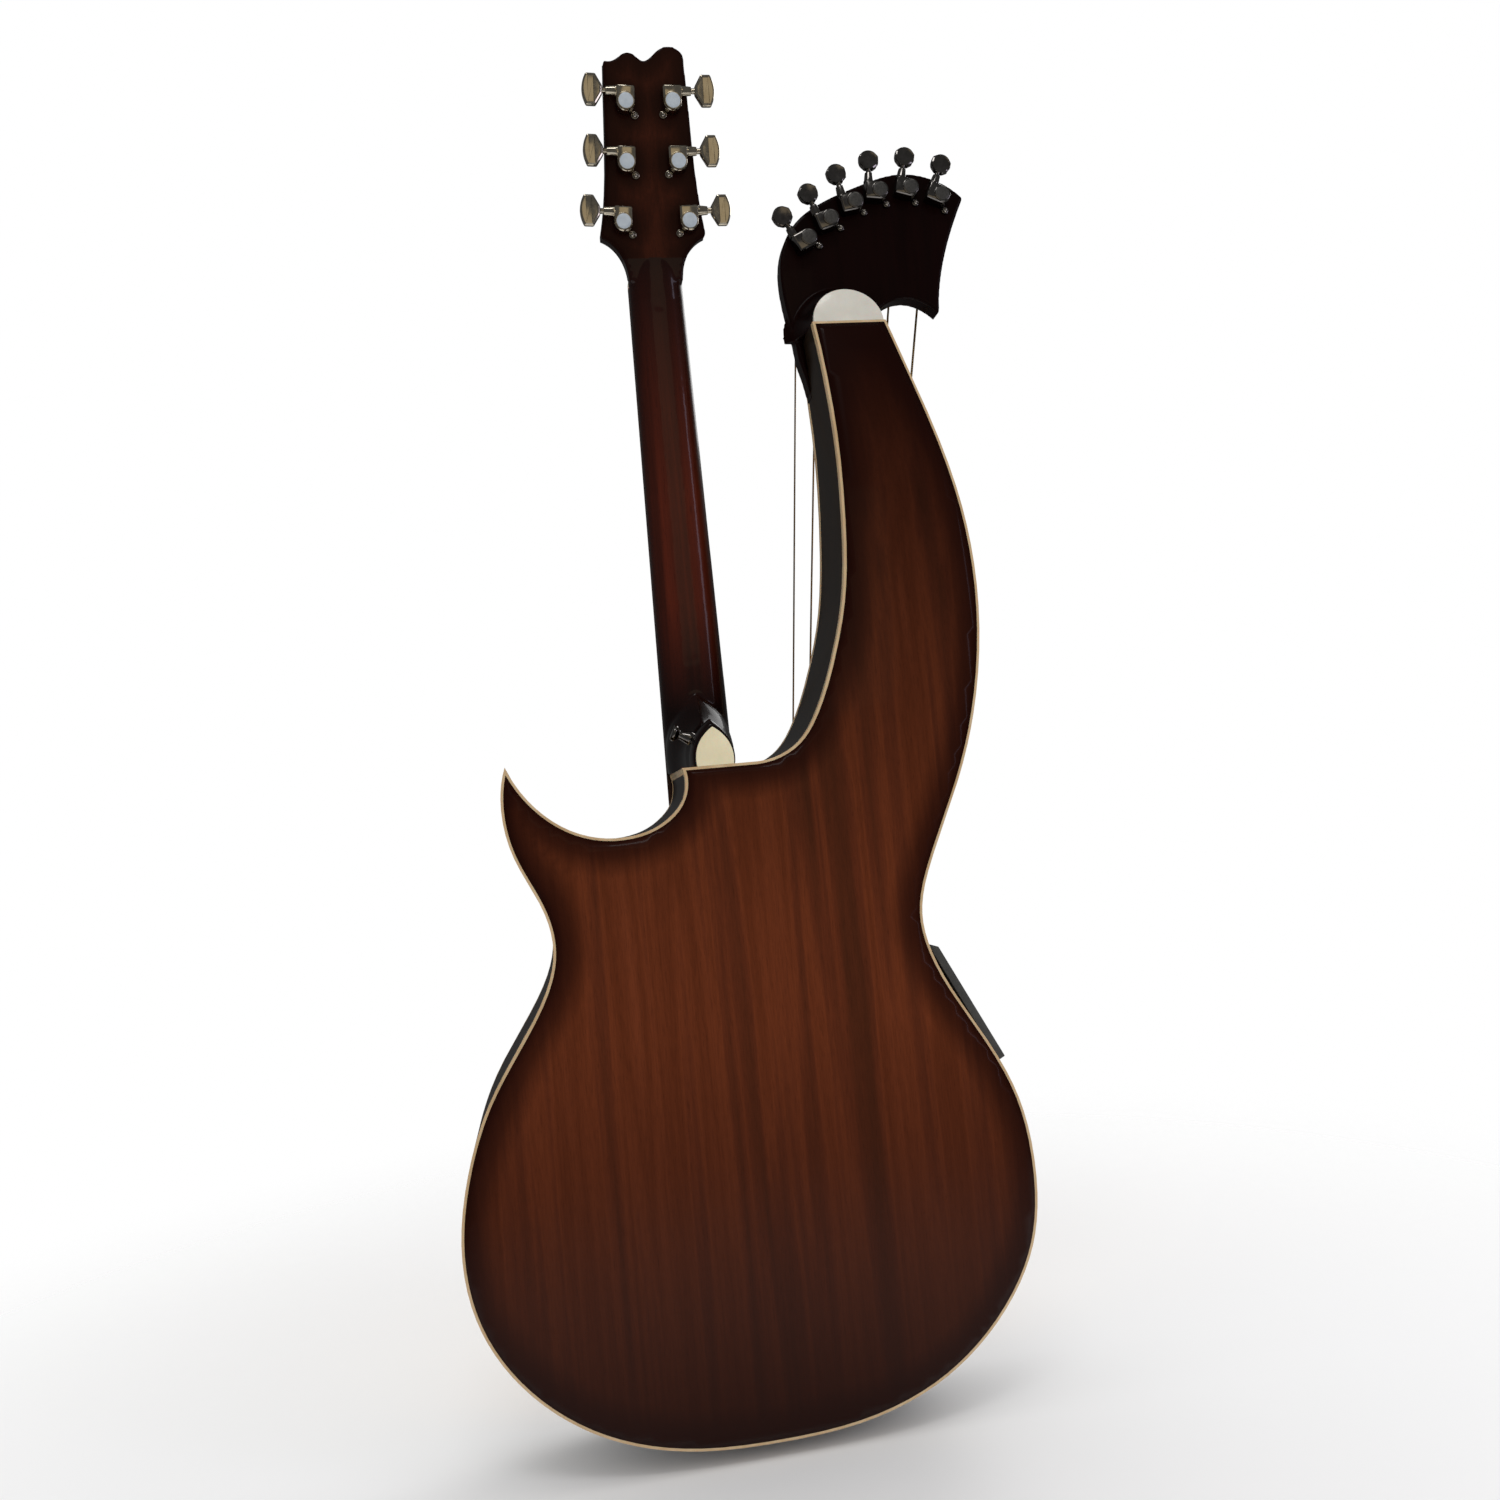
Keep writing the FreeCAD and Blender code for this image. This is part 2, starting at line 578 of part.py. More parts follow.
def makeHarpHead():
    plate = flatSketch("HarpPlate", size["harpHeadFront"])
    plate.addGeometry([
        line((-178, -armEnd), (-111, -armEnd)),
        spline([(-111, -armEnd), (-104, -8), (-107.5, 22), (-121, 45), (-143, 61), (-178, 76),
                (-215, 86), (-245, 81), (-270, 64)]),
        spline([(-270, 64), (-254.5, 30), (-243.5, -4), (-238.5, -37)]),
        spline([(-238.5, -37), (-226, -27.5), (-213, -23), (-200, -24), (-187, -31),
                (-178, -armEnd)])])
    plateWood = extrude("HarpPlateWood", plate, towardBack, "Sizes.harpHeadThick")
    sections = []
    middle = (armTip[0] + armInner[0]) / 2
    for number, (depth, radius, rise) in enumerate(
            [(10, 46, 52), (22, 37, 41), (34, 32.5, 33), (56, 29.5, 29)], start=1):
        slice_ = flatSketch(f"ArmHeel{number}", depth)
        low = -armEnd
        slice_.addGeometry([
            spline([(middle + radius, low), (middle + radius * 0.72, low + rise * 0.69),
                    (middle, low + rise), (middle - radius * 0.72, low + rise * 0.69),
                    (middle - radius, low)]),
            line((middle - radius, low), (middle + radius, low))])
        sections.append(slice_)
    armHeel = common("ArmHeel", loft("ArmHeelLoft", sections),
                     box("ArmHeelRoom", (-300, size["harpHeadFront"], -armEnd), (0, 90, 60)))
    # A tongue of the head's wood runs down the inner side of the arm and thins out.
    tongueSketch = flatSketch("TongueOutline", size["harpHeadFront"])
    tongueSketch.addGeometry(polygon([(-111, -armEnd), (-112.4, -72), (-116.6, -88), (-121, -112),
                                      (-130, -100), (-130, -armEnd)]))
    tongueWood = extrude("TongueWood", tongueSketch, towardBack, "Sizes.harpHeadThick")
    tongue = cut("Tongue", tongueWood, outerPrism)
    wood = fuse("HarpWood", [plateWood, armHeel, tongue])
    holes = tunerHoles("HarpHoles", harpPlaces)
    subPart(cut("HarpHead", wood, fuse("HarpTools", [behindCaps, holes])), "harp_head")

    cap = flatSketch("ArmCapOutline", 30)
    arcMiddle = -armEnd + size["armEndRound"]
    left, right = middle + size["armEndRound"], middle - size["armEndRound"]
    arc = Part.Arc(Vector(left, -armEnd, 0), Vector(middle, arcMiddle, 0), Vector(right, -armEnd, 0))
    cap.addGeometry([arc, line((right, -armEnd), (left, -armEnd))])
    capPrism = extrude("ArmCapPrism", cap, towardBack, "Sizes.depthTail")
    subPart(common("ArmCap", capPrism, capLayer), "arm_end_cap")


# ---- bridge, saddles, pins and nuts ----

saddleLine = -size["scaleLength"]
pinLine = saddleLine - 14
mainPitch = size["mainSpread"] / 5
harpPitch = size["harpSpread"] / 5
mainStrings = [size["mainSpread"] / 2 - mainPitch * number for number in range(6)]
harpStrings = [-size["harpNear"] - harpPitch * number for number in range(6)]
saddleTop = size["bridgeTall"] + size["saddleTall"]


def makeBridge():
    bridge = doc.addObject("PartDesign::Body", "BridgeBody")
    plane = [item for item in bridge.Origin.OriginFeatures if item.Role == "XZ_Plane"][0]
    sketch = bridge.newObject("Sketcher::SketchObject", "BridgeOutline")
    sketch.AttachmentSupport = [(plane, "")]
    sketch.MapMode = "FlatFace"
    right, left, high, low = 52, -128, saddleLine + 11, saddleLine - 23
    sketch.addGeometry([
        line((38, high), (-114, high)), spline([(-114, high), (-120, high - 5), (left, high - 13)]),
        spline([(left, high - 13), (-120, low + 4), (-110, low)]), line((-110, low), (34, low)),
        spline([(34, low), (45, low + 4), (right, high - 13)]),
        spline([(right, high - 13), (45, high - 5), (38, high)])])
    pad = bridge.newObject("PartDesign::Pad", "BridgePad")
    pad.Profile = sketch
    bind(pad, "Length", "Sizes.bridgeTall")
    slots = []
    for name, ends in (("MainSlot", (33, -33)), ("HarpSlot", (-49, -112))):
        slot = box(name, (ends[1], -20, saddleLine - size["saddleWide"] / 2),
                   (ends[0], 3 - size["bridgeTall"], saddleLine + size["saddleWide"] / 2))
        slots.append(slot)
    crown = [rod("CrownMain", (0, 170 - saddleTop, saddleLine - 5), (0, 0, 1), 170, 10)]
    mainSaddle = common("MainSaddle", slots[0], crown[0])
    harpSaddle = common("HarpSaddle", slots[1],
                        box("HarpSaddleTop", (-120, -saddleTop, saddleLine - 5),
                            (0, 0, saddleLine + 5)))
    subPart(group("Saddles", [mainSaddle, harpSaddle]), "saddles")
    holes = [rod(f"PinHole{number}", (x, -20, pinLine), towardBack, size["pinRadius"], 25)
             for number, x in enumerate(mainStrings + harpStrings, start=1)]
    subPart(cut("Bridge", bridge, fuse("BridgeTools", slots + holes)), "bridge")

    pins = []
    for number, x in enumerate(mainStrings + harpStrings, start=1):
        pins.append(rod(f"PinShank{number}", (x, -size["bridgeTall"], pinLine), towardBack,
                        size["pinRadius"], size["bridgeTall"]))
        head = doc.addObject("Part::Sphere", f"PinHead{number}")
        head.Radius = 3.6
        head.Angle1 = 0
        head.Placement = Placement(Vector(x, -size["bridgeTall"], pinLine),
                                   Rotation(Vector(0, 0, 1), Vector(0, -1, 0)))
        pins.append(head)
    subPart(fuse("Pins", pins), "bridge_pins")

    harpNut = box("HarpNut", (-234, -6.5, -12), (-112, size["harpHeadFront"], -7))
    subPart(harpNut, "harp_nut")


def stretch(name, spots, gauge):
    """A tight string that bends at each of its spots."""
    path = doc.addObject("Part::Polygon", name + "Path")
    path.Nodes = [Vector(*spot) for spot in spots]
    ring = doc.addObject("Part::Circle", name + "Ring")
    ring.Radius = gauge / 2
    ring.Placement = Placement(path.Nodes[0],
                               Rotation(Vector(0, 0, 1), path.Nodes[1] - path.Nodes[0]))
    string = doc.addObject("Part::Sweep", name)
    string.Sections = [ring]
    string.Spine = (path, ["Edge1", "Edge2", "Edge3"])
    string.Solid = True
    string.Transition = "Right corner"
    return string


def headPoint(x, rise, z):
    """A point given on the tilted headstock, in the frame of the whole instrument."""
    return tuple(headBase.multVec(Vector(x, rise, z)))


def makeStrings():
    mainGauge = [0.30, 0.41, 0.61, 0.81, 1.07, 1.35]
    harpGauge = [1.42, 1.52, 1.60, 1.70, 1.80, 1.90]
    nutSlots = [18.5 - 7.4 * number for number in range(6)]
    order = [0, 1, 2, 5, 4, 3]
    stringGap = 0.05
    bend = saddleLine - size["saddleWide"] / 2 - 0.3
    strings = []
    for number, (x, top, gauge) in enumerate(zip(mainStrings, nutSlots, mainGauge)):
        lift = saddleTop - x * x / 340 + gauge / 2 + stringGap
        saddle = (x, -lift, bend)
        nut = (top, -size["nutTall"] - gauge / 2, 1)
        spotX, spotZ = mainSpots[order[number]][:2]
        inward = -1 if spotX > 0 else 1
        post = headPoint(spotX + inward * (size["postRadius"] + gauge / 2), -7, spotZ)
        pin = (x, -size["bridgeTall"] - 0.6, pinLine + 3.5)
        strings.append(stretch(f"MainString{number}", [pin, saddle, nut, post], gauge))
    subPart(group("MainStrings", strings), "main_strings")

    strings = []
    for number, (x, gauge) in enumerate(zip(harpStrings, harpGauge)):
        spotX, spotZ = harpSpots[number][:2]
        saddle = (x, -saddleTop - gauge / 2 - stringGap, bend)
        postX = spotX + size["postRadius"] + gauge / 2
        share = (saddleLine + 9) / (saddleLine - spotZ)
        nut = (x + (postX - x) * share, -6.5 - gauge / 2, -9)
        post = (postX, -4.5, spotZ)
        pin = (x, -size["bridgeTall"] - 0.6, pinLine + 3.5)
        strings.append(stretch(f"HarpString{number}", [pin, saddle, nut, post], gauge))
    subPart(group("HarpStrings", strings), "harp_strings")


makeHarpHead()
makeBridge()
makeStrings()


# ---- tuners ----

wormRise = size["wormRise"]
collarEnd = 16
buttonStart = 18.5


def localRod(name, start, along, radius, length):
    """A cylinder in a tuner's own frame, along one of its axes."""
    item = doc.addObject("Part::Cylinder", name)
    item.Radius, item.Height = radius, length
    item.Placement = Placement(Vector(*start), Rotation(Vector(0, 0, 1), Vector(*along)))
    return item


def wormHeight(hand):
    return size["wormOffset"] * hand


def makeHousing(name, frame, hand, thick):
    """The D-shaped sealed case with its collar, its screw ear and the bushing through the head."""
    half = size["housingWide"] / 2
    far = 12.4 * hand
    shape = flatSketch(name + "Shape", size["housingTall"])
    shape.addGeometry([
        Part.Arc(Vector(half, 0, 0), Vector(0, -half * hand, 0), Vector(-half, 0, 0)),
        line((-half, 0), (-half, far)), line((-half, far), (half, far)), line((half, far), (half, 0))])
    case = extrude(name + "Case", shape, towardFront, "Sizes.housingTall")
    cap = localRod(name + "Cap", (0, size["housingTall"], 0), towardBack, 6.9, 0.8)
    across, along = screwSpot
    ear = localRod(name + "Ear", (across, 0, along * hand), towardBack, 3, 2)
    web = doc.addObject("Part::Box", name + "Web")
    web.Length, web.Width, web.Height = 5, 2, 4
    earTurn = Rotation(Vector(0, 1, 0), 134.3 * hand)
    web.Placement = Placement(earTurn.multVec(Vector(6, 0, -2)), earTurn)
    collar = doc.addObject("Part::Cone", name + "Collar")
    collar.Radius1, collar.Radius2, collar.Height = 4.4, 3.3, collarEnd - half
    outward = Rotation(Vector(0, 0, 1), Vector(1, 0, 0))
    collar.Placement = Placement(Vector(half, wormRise, wormHeight(hand)), outward)
    bushing = localRod(name + "Bushing", (0, 0, 0), towardFront, 5, thick)
    bind(bushing, "Radius", "Sizes.bushingRadius")
    washer = localRod(name + "Washer", (0, -thick, 0), towardFront, 7, 1)
    nut = doc.addObject("Part::Prism", name + "Nut")
    nut.Polygon, nut.Circumradius, nut.Height = 6, 6.3, 3
    nut.Placement = Placement(Vector(0, -thick - 1, 0), Rotation(Vector(0, 0, 1), Vector(0, -1, 0)))
    solid = fuse(name + "Solid", [case, cap, ear, web, collar, bushing, washer, nut])

    gap = size["runClearance"]
    gearRoom = localRod(name + "GearRoom", (0, 2, 0), towardBack, size["gearRadius"] + 0.5, 7)
    wormRoom = localRod(name + "WormRoom", (-6.4, wormRise, wormHeight(hand)), (1, 0, 0),
                        size["wormRadius"] + 0.3, 13)
    shaftRoom = localRod(name + "ShaftRoom", (0, wormRise, wormHeight(hand)), (1, 0, 0),
                         size["shaftRadius"] + gap, 30)
    postRoom = localRod(name + "PostRoom", (0, 3, 0), towardFront, size["postRadius"] + gap,
                        thick + 10)
    screwRoom = localRod(name + "ScrewRoom", (across, -1, along * hand), towardBack, screwRadius, 4)
    rooms = fuse(name + "Rooms", [gearRoom, wormRoom, shaftRoom, postRoom, screwRoom])
    housing = cut(name, solid, rooms)
    housing.Placement = frame
    return housing


def makePost(label, frame, thick):
    """The string post with its gear; the string's hole crosses it above the nut."""
    name = label.title().replace("_", "")
    reach = thick + size["postRise"]
    radius = size["postRadius"]
    lower = localRod(name + "Lower", (0, 5, 0), towardFront, radius, 5 + thick + 6)
    waist = localRod(name + "Waist", (0, -thick, 0), towardFront, radius - 0.5, size["postRise"])
    crown = localRod(name + "Crown", (0, -reach + 4.5, 0), towardFront, radius, 4.5)
    gear = localRod(name + "Gear", (0, 3, 0), towardBack, size["gearRadius"], 5)
    solid = fuse(name + "Solid", [lower, waist, crown, gear])
    hole = localRod(name + "Hole", (-5, -thick - 8, 0), (1, 0, 0), 0.9, 10)
    post = cut(name, solid, hole)
    post.Placement = frame
    subPart(post, label)


def makeButton(label, frame, hand, outlinePoints, bulge):
    """The button on its shaft and worm. Its outline runs from the shaft outwards."""
    name = label.title().replace("_", "")
    plane = flatSketch(name + "Outline", wormRise + 3.2)
    lift = wormHeight(hand)
    side = [(buttonStart + along, lift + across) for along, across in outlinePoints]
    other = [(x, 2 * lift - z) for x, z in side[::-1]]
    edge = Part.Arc(Vector(*side[-1], 0), Vector(buttonStart + bulge, lift, 0), Vector(*other[0], 0))
    plane.addGeometry([line(a, b) for a, b in zip(side, side[1:])] + [edge]
                      + [line(a, b) for a, b in zip(other, other[1:])]
                      + [line(other[-1], side[0])])
    grip = extrude(name + "Grip", plane, towardFront, "6.4")
    start = (-6, wormRise, lift)
    shaft = localRod(name + "Shaft", start, (1, 0, 0), size["shaftRadius"], buttonStart + 9)
    worm = localRod(name + "Worm", (-5.5, wormRise, lift), (1, 0, 0), size["wormRadius"], 11)
    ring = localRod(name + "Ring", (collarEnd + 0.3, wormRise, lift), (1, 0, 0), 3,
                    buttonStart - collarEnd + 1)
    button = fuse(name, [grip, shaft, worm, ring])
    button.Placement = frame
    subPart(button, label)


def makeTuners():
    mainThick = size["headThick"] + size["veneerThick"]
    keystone = [(0, 3), (5.5, 12), (13, 12)]
    octagon = [(0, 3.4), (3.4, 7.4), (6.6, 8.5), (11.5, 8.5), (15, 5)]
    screws = []
    for family, places, thick, shape, bulge in (
            ("main", mainPlaces, mainThick, keystone, 16.4),
            ("harp", harpPlaces, size["harpHeadThick"], octagon, 16.6)):
        housings = []
        for number, (frame, hand) in enumerate(places, start=1):
            housings.append(makeHousing(f"{family.title()}Housing{number}", frame, hand, thick))
            makePost(f"{family}_post_{number}", frame, thick)
            makeButton(f"{family}_button_{number}", frame, hand, shape, bulge)
            across, along = screwSpot
            shank = localRod(f"{family}Shank{number}", (0, 0, 0), towardBack, screwRadius,
                             screwLong + 2)
            upward = Rotation(Vector(0, 0, 1), Vector(0, 1, 0))
            shank.Placement = frame.multiply(
                Placement(Vector(across, -screwLong, along * hand), upward))
            head = doc.addObject("Part::Sphere", f"{family}ScrewHead{number}")
            head.Radius, head.Angle1 = 2.3, 0
            head.Placement = frame.multiply(Placement(Vector(across, 2, along * hand), upward))
            screws += [shank, head]
        subPart(group(f"{family.title()}Housings", housings), f"{family}_tuner_housings")
    subPart(fuse("TunerScrews", screws), "tuner_screws")


makeTuners()


# ---- output jack and preamp ----

def makeJack():
    """The socket in the tail block, whose flanged end also holds the strap."""
    body = doc.addObject("PartDesign::Body", "JackBody")
    sketch = body.newObject("Sketcher::SketchObject", "JackSide")
    plane = [item for item in body.Origin.OriginFeatures if item.Role == "XZ_Plane"][0]
    sketch.AttachmentSupport = [(plane, "")]
    sketch.MapMode = "FlatFace"
    bore, barrel, deep = size["jackBore"], size["jackRadius"], size["jackDepth"]
    tip = -12
    sketch.addGeometry(polygon([
        (0, tip + deep), (bore, tip + deep), (bore, tip), (8, tip), (8.8, tip + 1.5), (6, tip + 5),
        (6, -2.5), (9.5, -2), (9.5, 0), (barrel, 0), (barrel, tip + deep + 5), (0, tip + deep + 5)]))
    turned = body.newObject("PartDesign::Revolution", "JackTurned")
    turned.Profile = sketch
    turned.ReferenceAxis = (sketch, ["V_Axis"])
    turned.Angle = 360
    body.Placement = Placement(Vector(0, size["depthTail"] / 2, -tail), Rotation())
    subPart(body, "output_jack")


makeJack()


panelBase = Placement(Vector(-176, 72, -604.5), Rotation(Vector(0, 1, 0), 206.3))
knobSpots = [-18, 18]
knobStem, knobRadius = 3, 7.5
wellFloor = -1.6


def panelBox(name, low, high):
    """A box in the panel's frame: X points out of the side and Y to the back."""
    item = box(name, low, high)
    item.Placement = panelBase.multiply(item.Placement)
    return item


def panelRod(name, start, radius, length):
    item = localRod(name, start, (1, 0, 0), radius, length)
    item.Placement = panelBase.multiply(item.Placement)
    return item


def makePreamp():
    """The preamp set into the bass side below the waist, with a volume and a tone knob."""
    long, tall, thick = size["panelLong"] / 2, size["panelTall"] / 2, size["panelThick"]
    plate = panelBox("PanelPlate", (-3, -tall, -long), (thick - 1, tall, long))
    proud = cut("PanelProud", plate, outerPrism)
    case = panelBox("PanelCase", (-26, -tall + 4, -long + 6), (1, tall - 12, long - 6))
    stems = [panelRod(f"StemHole{number}", (-20, -2, spot), knobStem + size["runClearance"], 40)
             for number, spot in enumerate(knobSpots, start=1)]
    stems += [panelRod(f"KnobWell{number}", (wellFloor, -2, spot), knobRadius + 0.6, 20)
              for number, spot in enumerate(knobSpots, start=1)]
    whole = fuse("PreampWhole", [proud, case])
    subPart(cut("Preamp", whole, fuse("StemHoles", stems)), "preamp_panel")
    for label, spot in zip(("volume_knob", "tone_knob"), knobSpots):
        stem = panelRod(label + "Stem", (-14, -2, spot), knobStem, 13.6)
        grip = panelRod(label + "Grip", (wellFloor + 0.4, -2, spot), knobRadius, thick)
        subPart(fuse(label + "Solid", [stem, grip]), label)
    return case


makeSoundbox(makePreamp())


# ---- check and write ----

doc.recompute()
for item in doc.Objects:
    if "Invalid" in item.State or "Error" in item.State:
        raise RuntimeError(f"{item.Label} did not build: {item.State}")
for item in parts:
    if item.Shape.isNull() or not item.Shape.isValid():
        raise RuntimeError(f"{item.Label} has no valid shape")

os.makedirs("parts", exist_ok=True)
for item in parts:
    item.Shape.exportStep(f"parts/{item.Label}.step")
    bounds = item.Shape.BoundBox
    print(f"{item.Label:22s} solids {len(item.Shape.Solids):3d}  volume {item.Shape.Volume:10.1f}  "
          f"X {bounds.XMin:7.1f} {bounds.XMax:7.1f}  Y {bounds.YMin:6.1f} {bounds.YMax:6.1f}  "
          f"Z {bounds.ZMin:7.1f} {bounds.ZMax:7.1f}")
print(len(parts), "sub-parts")
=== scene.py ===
import json
import math

import bmesh
import bpy
from mathutils import Matrix, Vector, geometry, kdtree


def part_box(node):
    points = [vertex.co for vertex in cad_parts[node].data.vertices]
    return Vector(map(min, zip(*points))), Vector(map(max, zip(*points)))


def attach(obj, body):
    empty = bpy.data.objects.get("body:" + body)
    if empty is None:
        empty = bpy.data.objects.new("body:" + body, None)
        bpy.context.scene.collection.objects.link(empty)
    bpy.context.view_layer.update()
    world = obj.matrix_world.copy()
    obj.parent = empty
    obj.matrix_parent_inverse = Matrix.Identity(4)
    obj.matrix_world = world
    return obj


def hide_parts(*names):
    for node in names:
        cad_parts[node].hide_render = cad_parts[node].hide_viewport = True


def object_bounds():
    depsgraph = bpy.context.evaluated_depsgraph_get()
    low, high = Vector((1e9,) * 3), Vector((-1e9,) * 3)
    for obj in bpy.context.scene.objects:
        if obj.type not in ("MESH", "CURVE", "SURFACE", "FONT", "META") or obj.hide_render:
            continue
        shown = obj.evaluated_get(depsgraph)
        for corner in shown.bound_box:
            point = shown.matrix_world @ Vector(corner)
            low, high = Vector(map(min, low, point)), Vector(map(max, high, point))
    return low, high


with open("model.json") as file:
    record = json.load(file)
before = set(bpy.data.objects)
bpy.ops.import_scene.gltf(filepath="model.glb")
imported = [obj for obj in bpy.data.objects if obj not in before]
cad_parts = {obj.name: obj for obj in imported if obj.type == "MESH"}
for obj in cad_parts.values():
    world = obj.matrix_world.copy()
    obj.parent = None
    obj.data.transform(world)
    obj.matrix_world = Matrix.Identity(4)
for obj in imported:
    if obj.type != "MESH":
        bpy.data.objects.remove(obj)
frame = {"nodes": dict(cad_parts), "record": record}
cadLow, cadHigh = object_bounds()
nodes = frame["nodes"]
bodyOf = {node: body for body, members in frame["record"]["behaviour"]["bodies"].items()
          for node in members}
mm = 0.001
print("frame loaded:", len(nodes), "nodes")


# Helpers for materials

def linear(hexCode):
    parts = [int(hexCode[i:i + 2], 16) / 255 for i in (1, 3, 5)]
    return (*[p / 12.92 if p <= 0.04045 else ((p + 0.055) / 1.055) ** 2.4 for p in parts], 1)


def addNode(tree, kind, settings=None, links=None):
    node = tree.nodes.new("ShaderNode" + kind)
    for key, value in (settings or {}).items():
        if isinstance(key, int) or key in node.inputs:
            node.inputs[key].default_value = value
        else:
            setattr(node, key, value)
    for key, source in (links or {}).items():
        tree.links.new(source, node.inputs[key])
    return node


def startMaterial(name, **surface):
    material = bpy.data.materials.new(name)
    material.use_nodes = True
    shader = material.node_tree.nodes["Principled BSDF"]
    for key, value in surface.items():
        shader.inputs[key.replace("_", " ")].default_value = value
    return material, material.node_tree, shader


def ramp(tree, source, *stops):
    node = addNode(tree, "ValToRGB", links={"Fac": source})
    elements = node.color_ramp.elements
    while len(elements) < len(stops):
        elements.new(0.5)
    for element, (position, colour) in zip(elements, stops):
        element.position = position
        element.color = linear(colour) if isinstance(colour, str) else (colour,) * 3 + (1,)
    return node.outputs["Color"]


def spread(tree, across, along, thick=None):
    # the object's own place, divided by the size in mm of one step across, front to back, along
    place = addNode(tree, "TexCoord")
    scale = [1000 / across, 1000 / (thick or across), 1000 / along]
    mapping = addNode(tree, "Mapping", {"Scale": scale},
                      {"Vector": place.outputs["Object"]})
    return mapping.outputs["Vector"]


def mixed(tree, kind, factor, one, two):
    node = addNode(tree, "Mix", {"data_type": "RGBA", "blend_type": kind})
    for socket, value in ((0, factor), (6, one), (7, two)):
        if isinstance(value, bpy.types.NodeSocket):
            tree.links.new(value, node.inputs[socket])
        else:
            node.inputs[socket].default_value = value
    return node.outputs[2]


def bumped(tree, shader, height, strength, distance):
    bump = addNode(tree, "Bump", {"Strength": strength, "Distance": distance}, {"Height": height})
    tree.links.new(bump.outputs["Normal"], shader.inputs["Normal"])


# Woods. Each is a lacquered or oiled timber: broad figure, fine fibres, short open pores and,
# where the maker sprayed a burst, a darker edge.
grainSizes = {"poreWide": 0.9, "poreLong": 9, "wobbleWide": 45, "wobbleLong": 90}  # mm


def lacqueredWood(name, look):
    material, tree, shader = startMaterial(
        name, Roughness=look.get("roughness", 0.3), IOR=1.5,
        Coat_Weight=look.get("coat", 0.5), Coat_Roughness=look.get("coatRoughness", 0.06),
        Specular_IOR_Level=look.get("specular", 0.25))
    figure = addNode(tree, "TexNoise", {"Scale": 1, "Detail": 3, "Roughness": 0.55,
                                        "Distortion": look.get("waviness", 0.25)},
                     {"Vector": spread(tree, look["bandWide"], look["bandLong"])})
    colour = ramp(tree, figure.outputs["Fac"], *look["bands"])
    fibre = addNode(tree, "TexNoise", {"Scale": 1, "Detail": 4, "Roughness": 0.7},
                    {"Vector": spread(tree, look.get("fibreWide", 1.1),
                                      look.get("fibreLong", 60))})
    streak = ramp(tree, fibre.outputs["Fac"], (0.3, 0.72), (0.5, 1.0), (0.72, 1.22))
    colour = mixed(tree, "MULTIPLY", look.get("fibre", 0.8), colour, streak)
    pore = addNode(tree, "TexNoise", {"Scale": 1, "Detail": 2, "Roughness": 0.5},
                   {"Vector": spread(tree, grainSizes["poreWide"], grainSizes["poreLong"])})
    poreMask = ramp(tree, pore.outputs["Fac"], (0.3, 0.55), (0.4, 1.0))
    colour = mixed(tree, "MULTIPLY", look.get("pores", 0.6), colour, poreMask)
    if "edge" in look:
        reach, edgeColour = look["edge"]
        distance = addNode(tree, "Attribute", {"attribute_name": "edgeDistance"})
        wobble = addNode(tree, "TexNoise", {"Scale": 1, "Detail": 2},
                         {"Vector": spread(tree, grainSizes["wobbleWide"],
                                           grainSizes["wobbleLong"])})
        share = addNode(tree, "Math", {"operation": "MULTIPLY_ADD", 1: 1 / reach},
                        {0: distance.outputs["Fac"]})
        offset = addNode(tree, "Math", {"operation": "MULTIPLY_ADD", 1: 0.3, 2: -0.15},
                         {0: wobble.outputs["Fac"]})
        tree.links.new(offset.outputs[0], share.inputs[2])
        burst = ramp(tree, share.outputs[0], (0.0, 1.0), (0.45, 0.72), (1.0, 0.0))
        colour = mixed(tree, "MIX", burst, colour, linear(edgeColour))
    # painted shade: each band of height mixes the colour towards a darker tone, so the part reads
    # darker towards its ends
    for low, high, shadeColour in look.get("shadeFades", []):
        place = addNode(tree, "TexCoord")
        height = addNode(tree, "SeparateXYZ", links={"Vector": place.outputs["Object"]})
        rise = addNode(tree, "MapRange", {"From Min": low, "From Max": high},
                       {"Value": height.outputs["Z"]})
        colour = mixed(tree, "MIX", rise.outputs["Result"], colour, linear(shadeColour))
    tree.links.new(colour, shader.inputs["Base Color"])
    bumped(tree, shader, poreMask, look.get("relief", 0.12), 0.0002)
    return material


ribbonMahogany = lacqueredWood("ribbonMahoganyGloss", {  # ribbon-striped back under gloss, with painted shade darkening it towards its top and towards the tail
    "bandWide": 24, "bandLong": 1200, "bands": [
        (0.32, "#44200F"), (0.44, "#562713"), (0.5, "#632E16"), (0.58, "#572711"),
        (0.7, "#663018")],
    # painted shade towards the top of the back and towards the tail
    "edge": (26, "#240A04"), "shadeFades": [(-0.52, -0.08, "#180401"), (-0.6, -0.9, "#200B06")],
    "fibreLong": 14, "fibre": 0.6, "coat": 0.08, "specular": 0.06, "pores": 0.35,
    "relief": 0.03})
neckMahogany = lacqueredWood("neckMahoganyBurstAndShade", {  # straight-grained neck, red-brown burst, with painted shade darkening it towards the heel and towards the head
    "bandWide": 15, "bandLong": 500, "bands": [
        (0.3, "#3A1207"), (0.5, "#4E1A0A"), (0.7, "#441609")],
    # painted shade towards the heel and towards the head
    "edge": (15, "#1E0703"), "shadeFades": [(-0.27, -0.36, "#100403"), (-0.18, 0.02, "#170402")],
    "coat": 0.35, "specular": 0.1,
    "fibre": 0.4, "relief": 0.03})
headMahogany = lacqueredWood("headMahoganyBurst", {
    "bandWide": 12, "bandLong": 400, "bands": [
        (0.3, "#290F07"), (0.5, "#35150A"), (0.7, "#2D1108")],
    "edge": (22, "#170603"), "coat": 0.05, "specular": 0.05, "relief": 0.03})
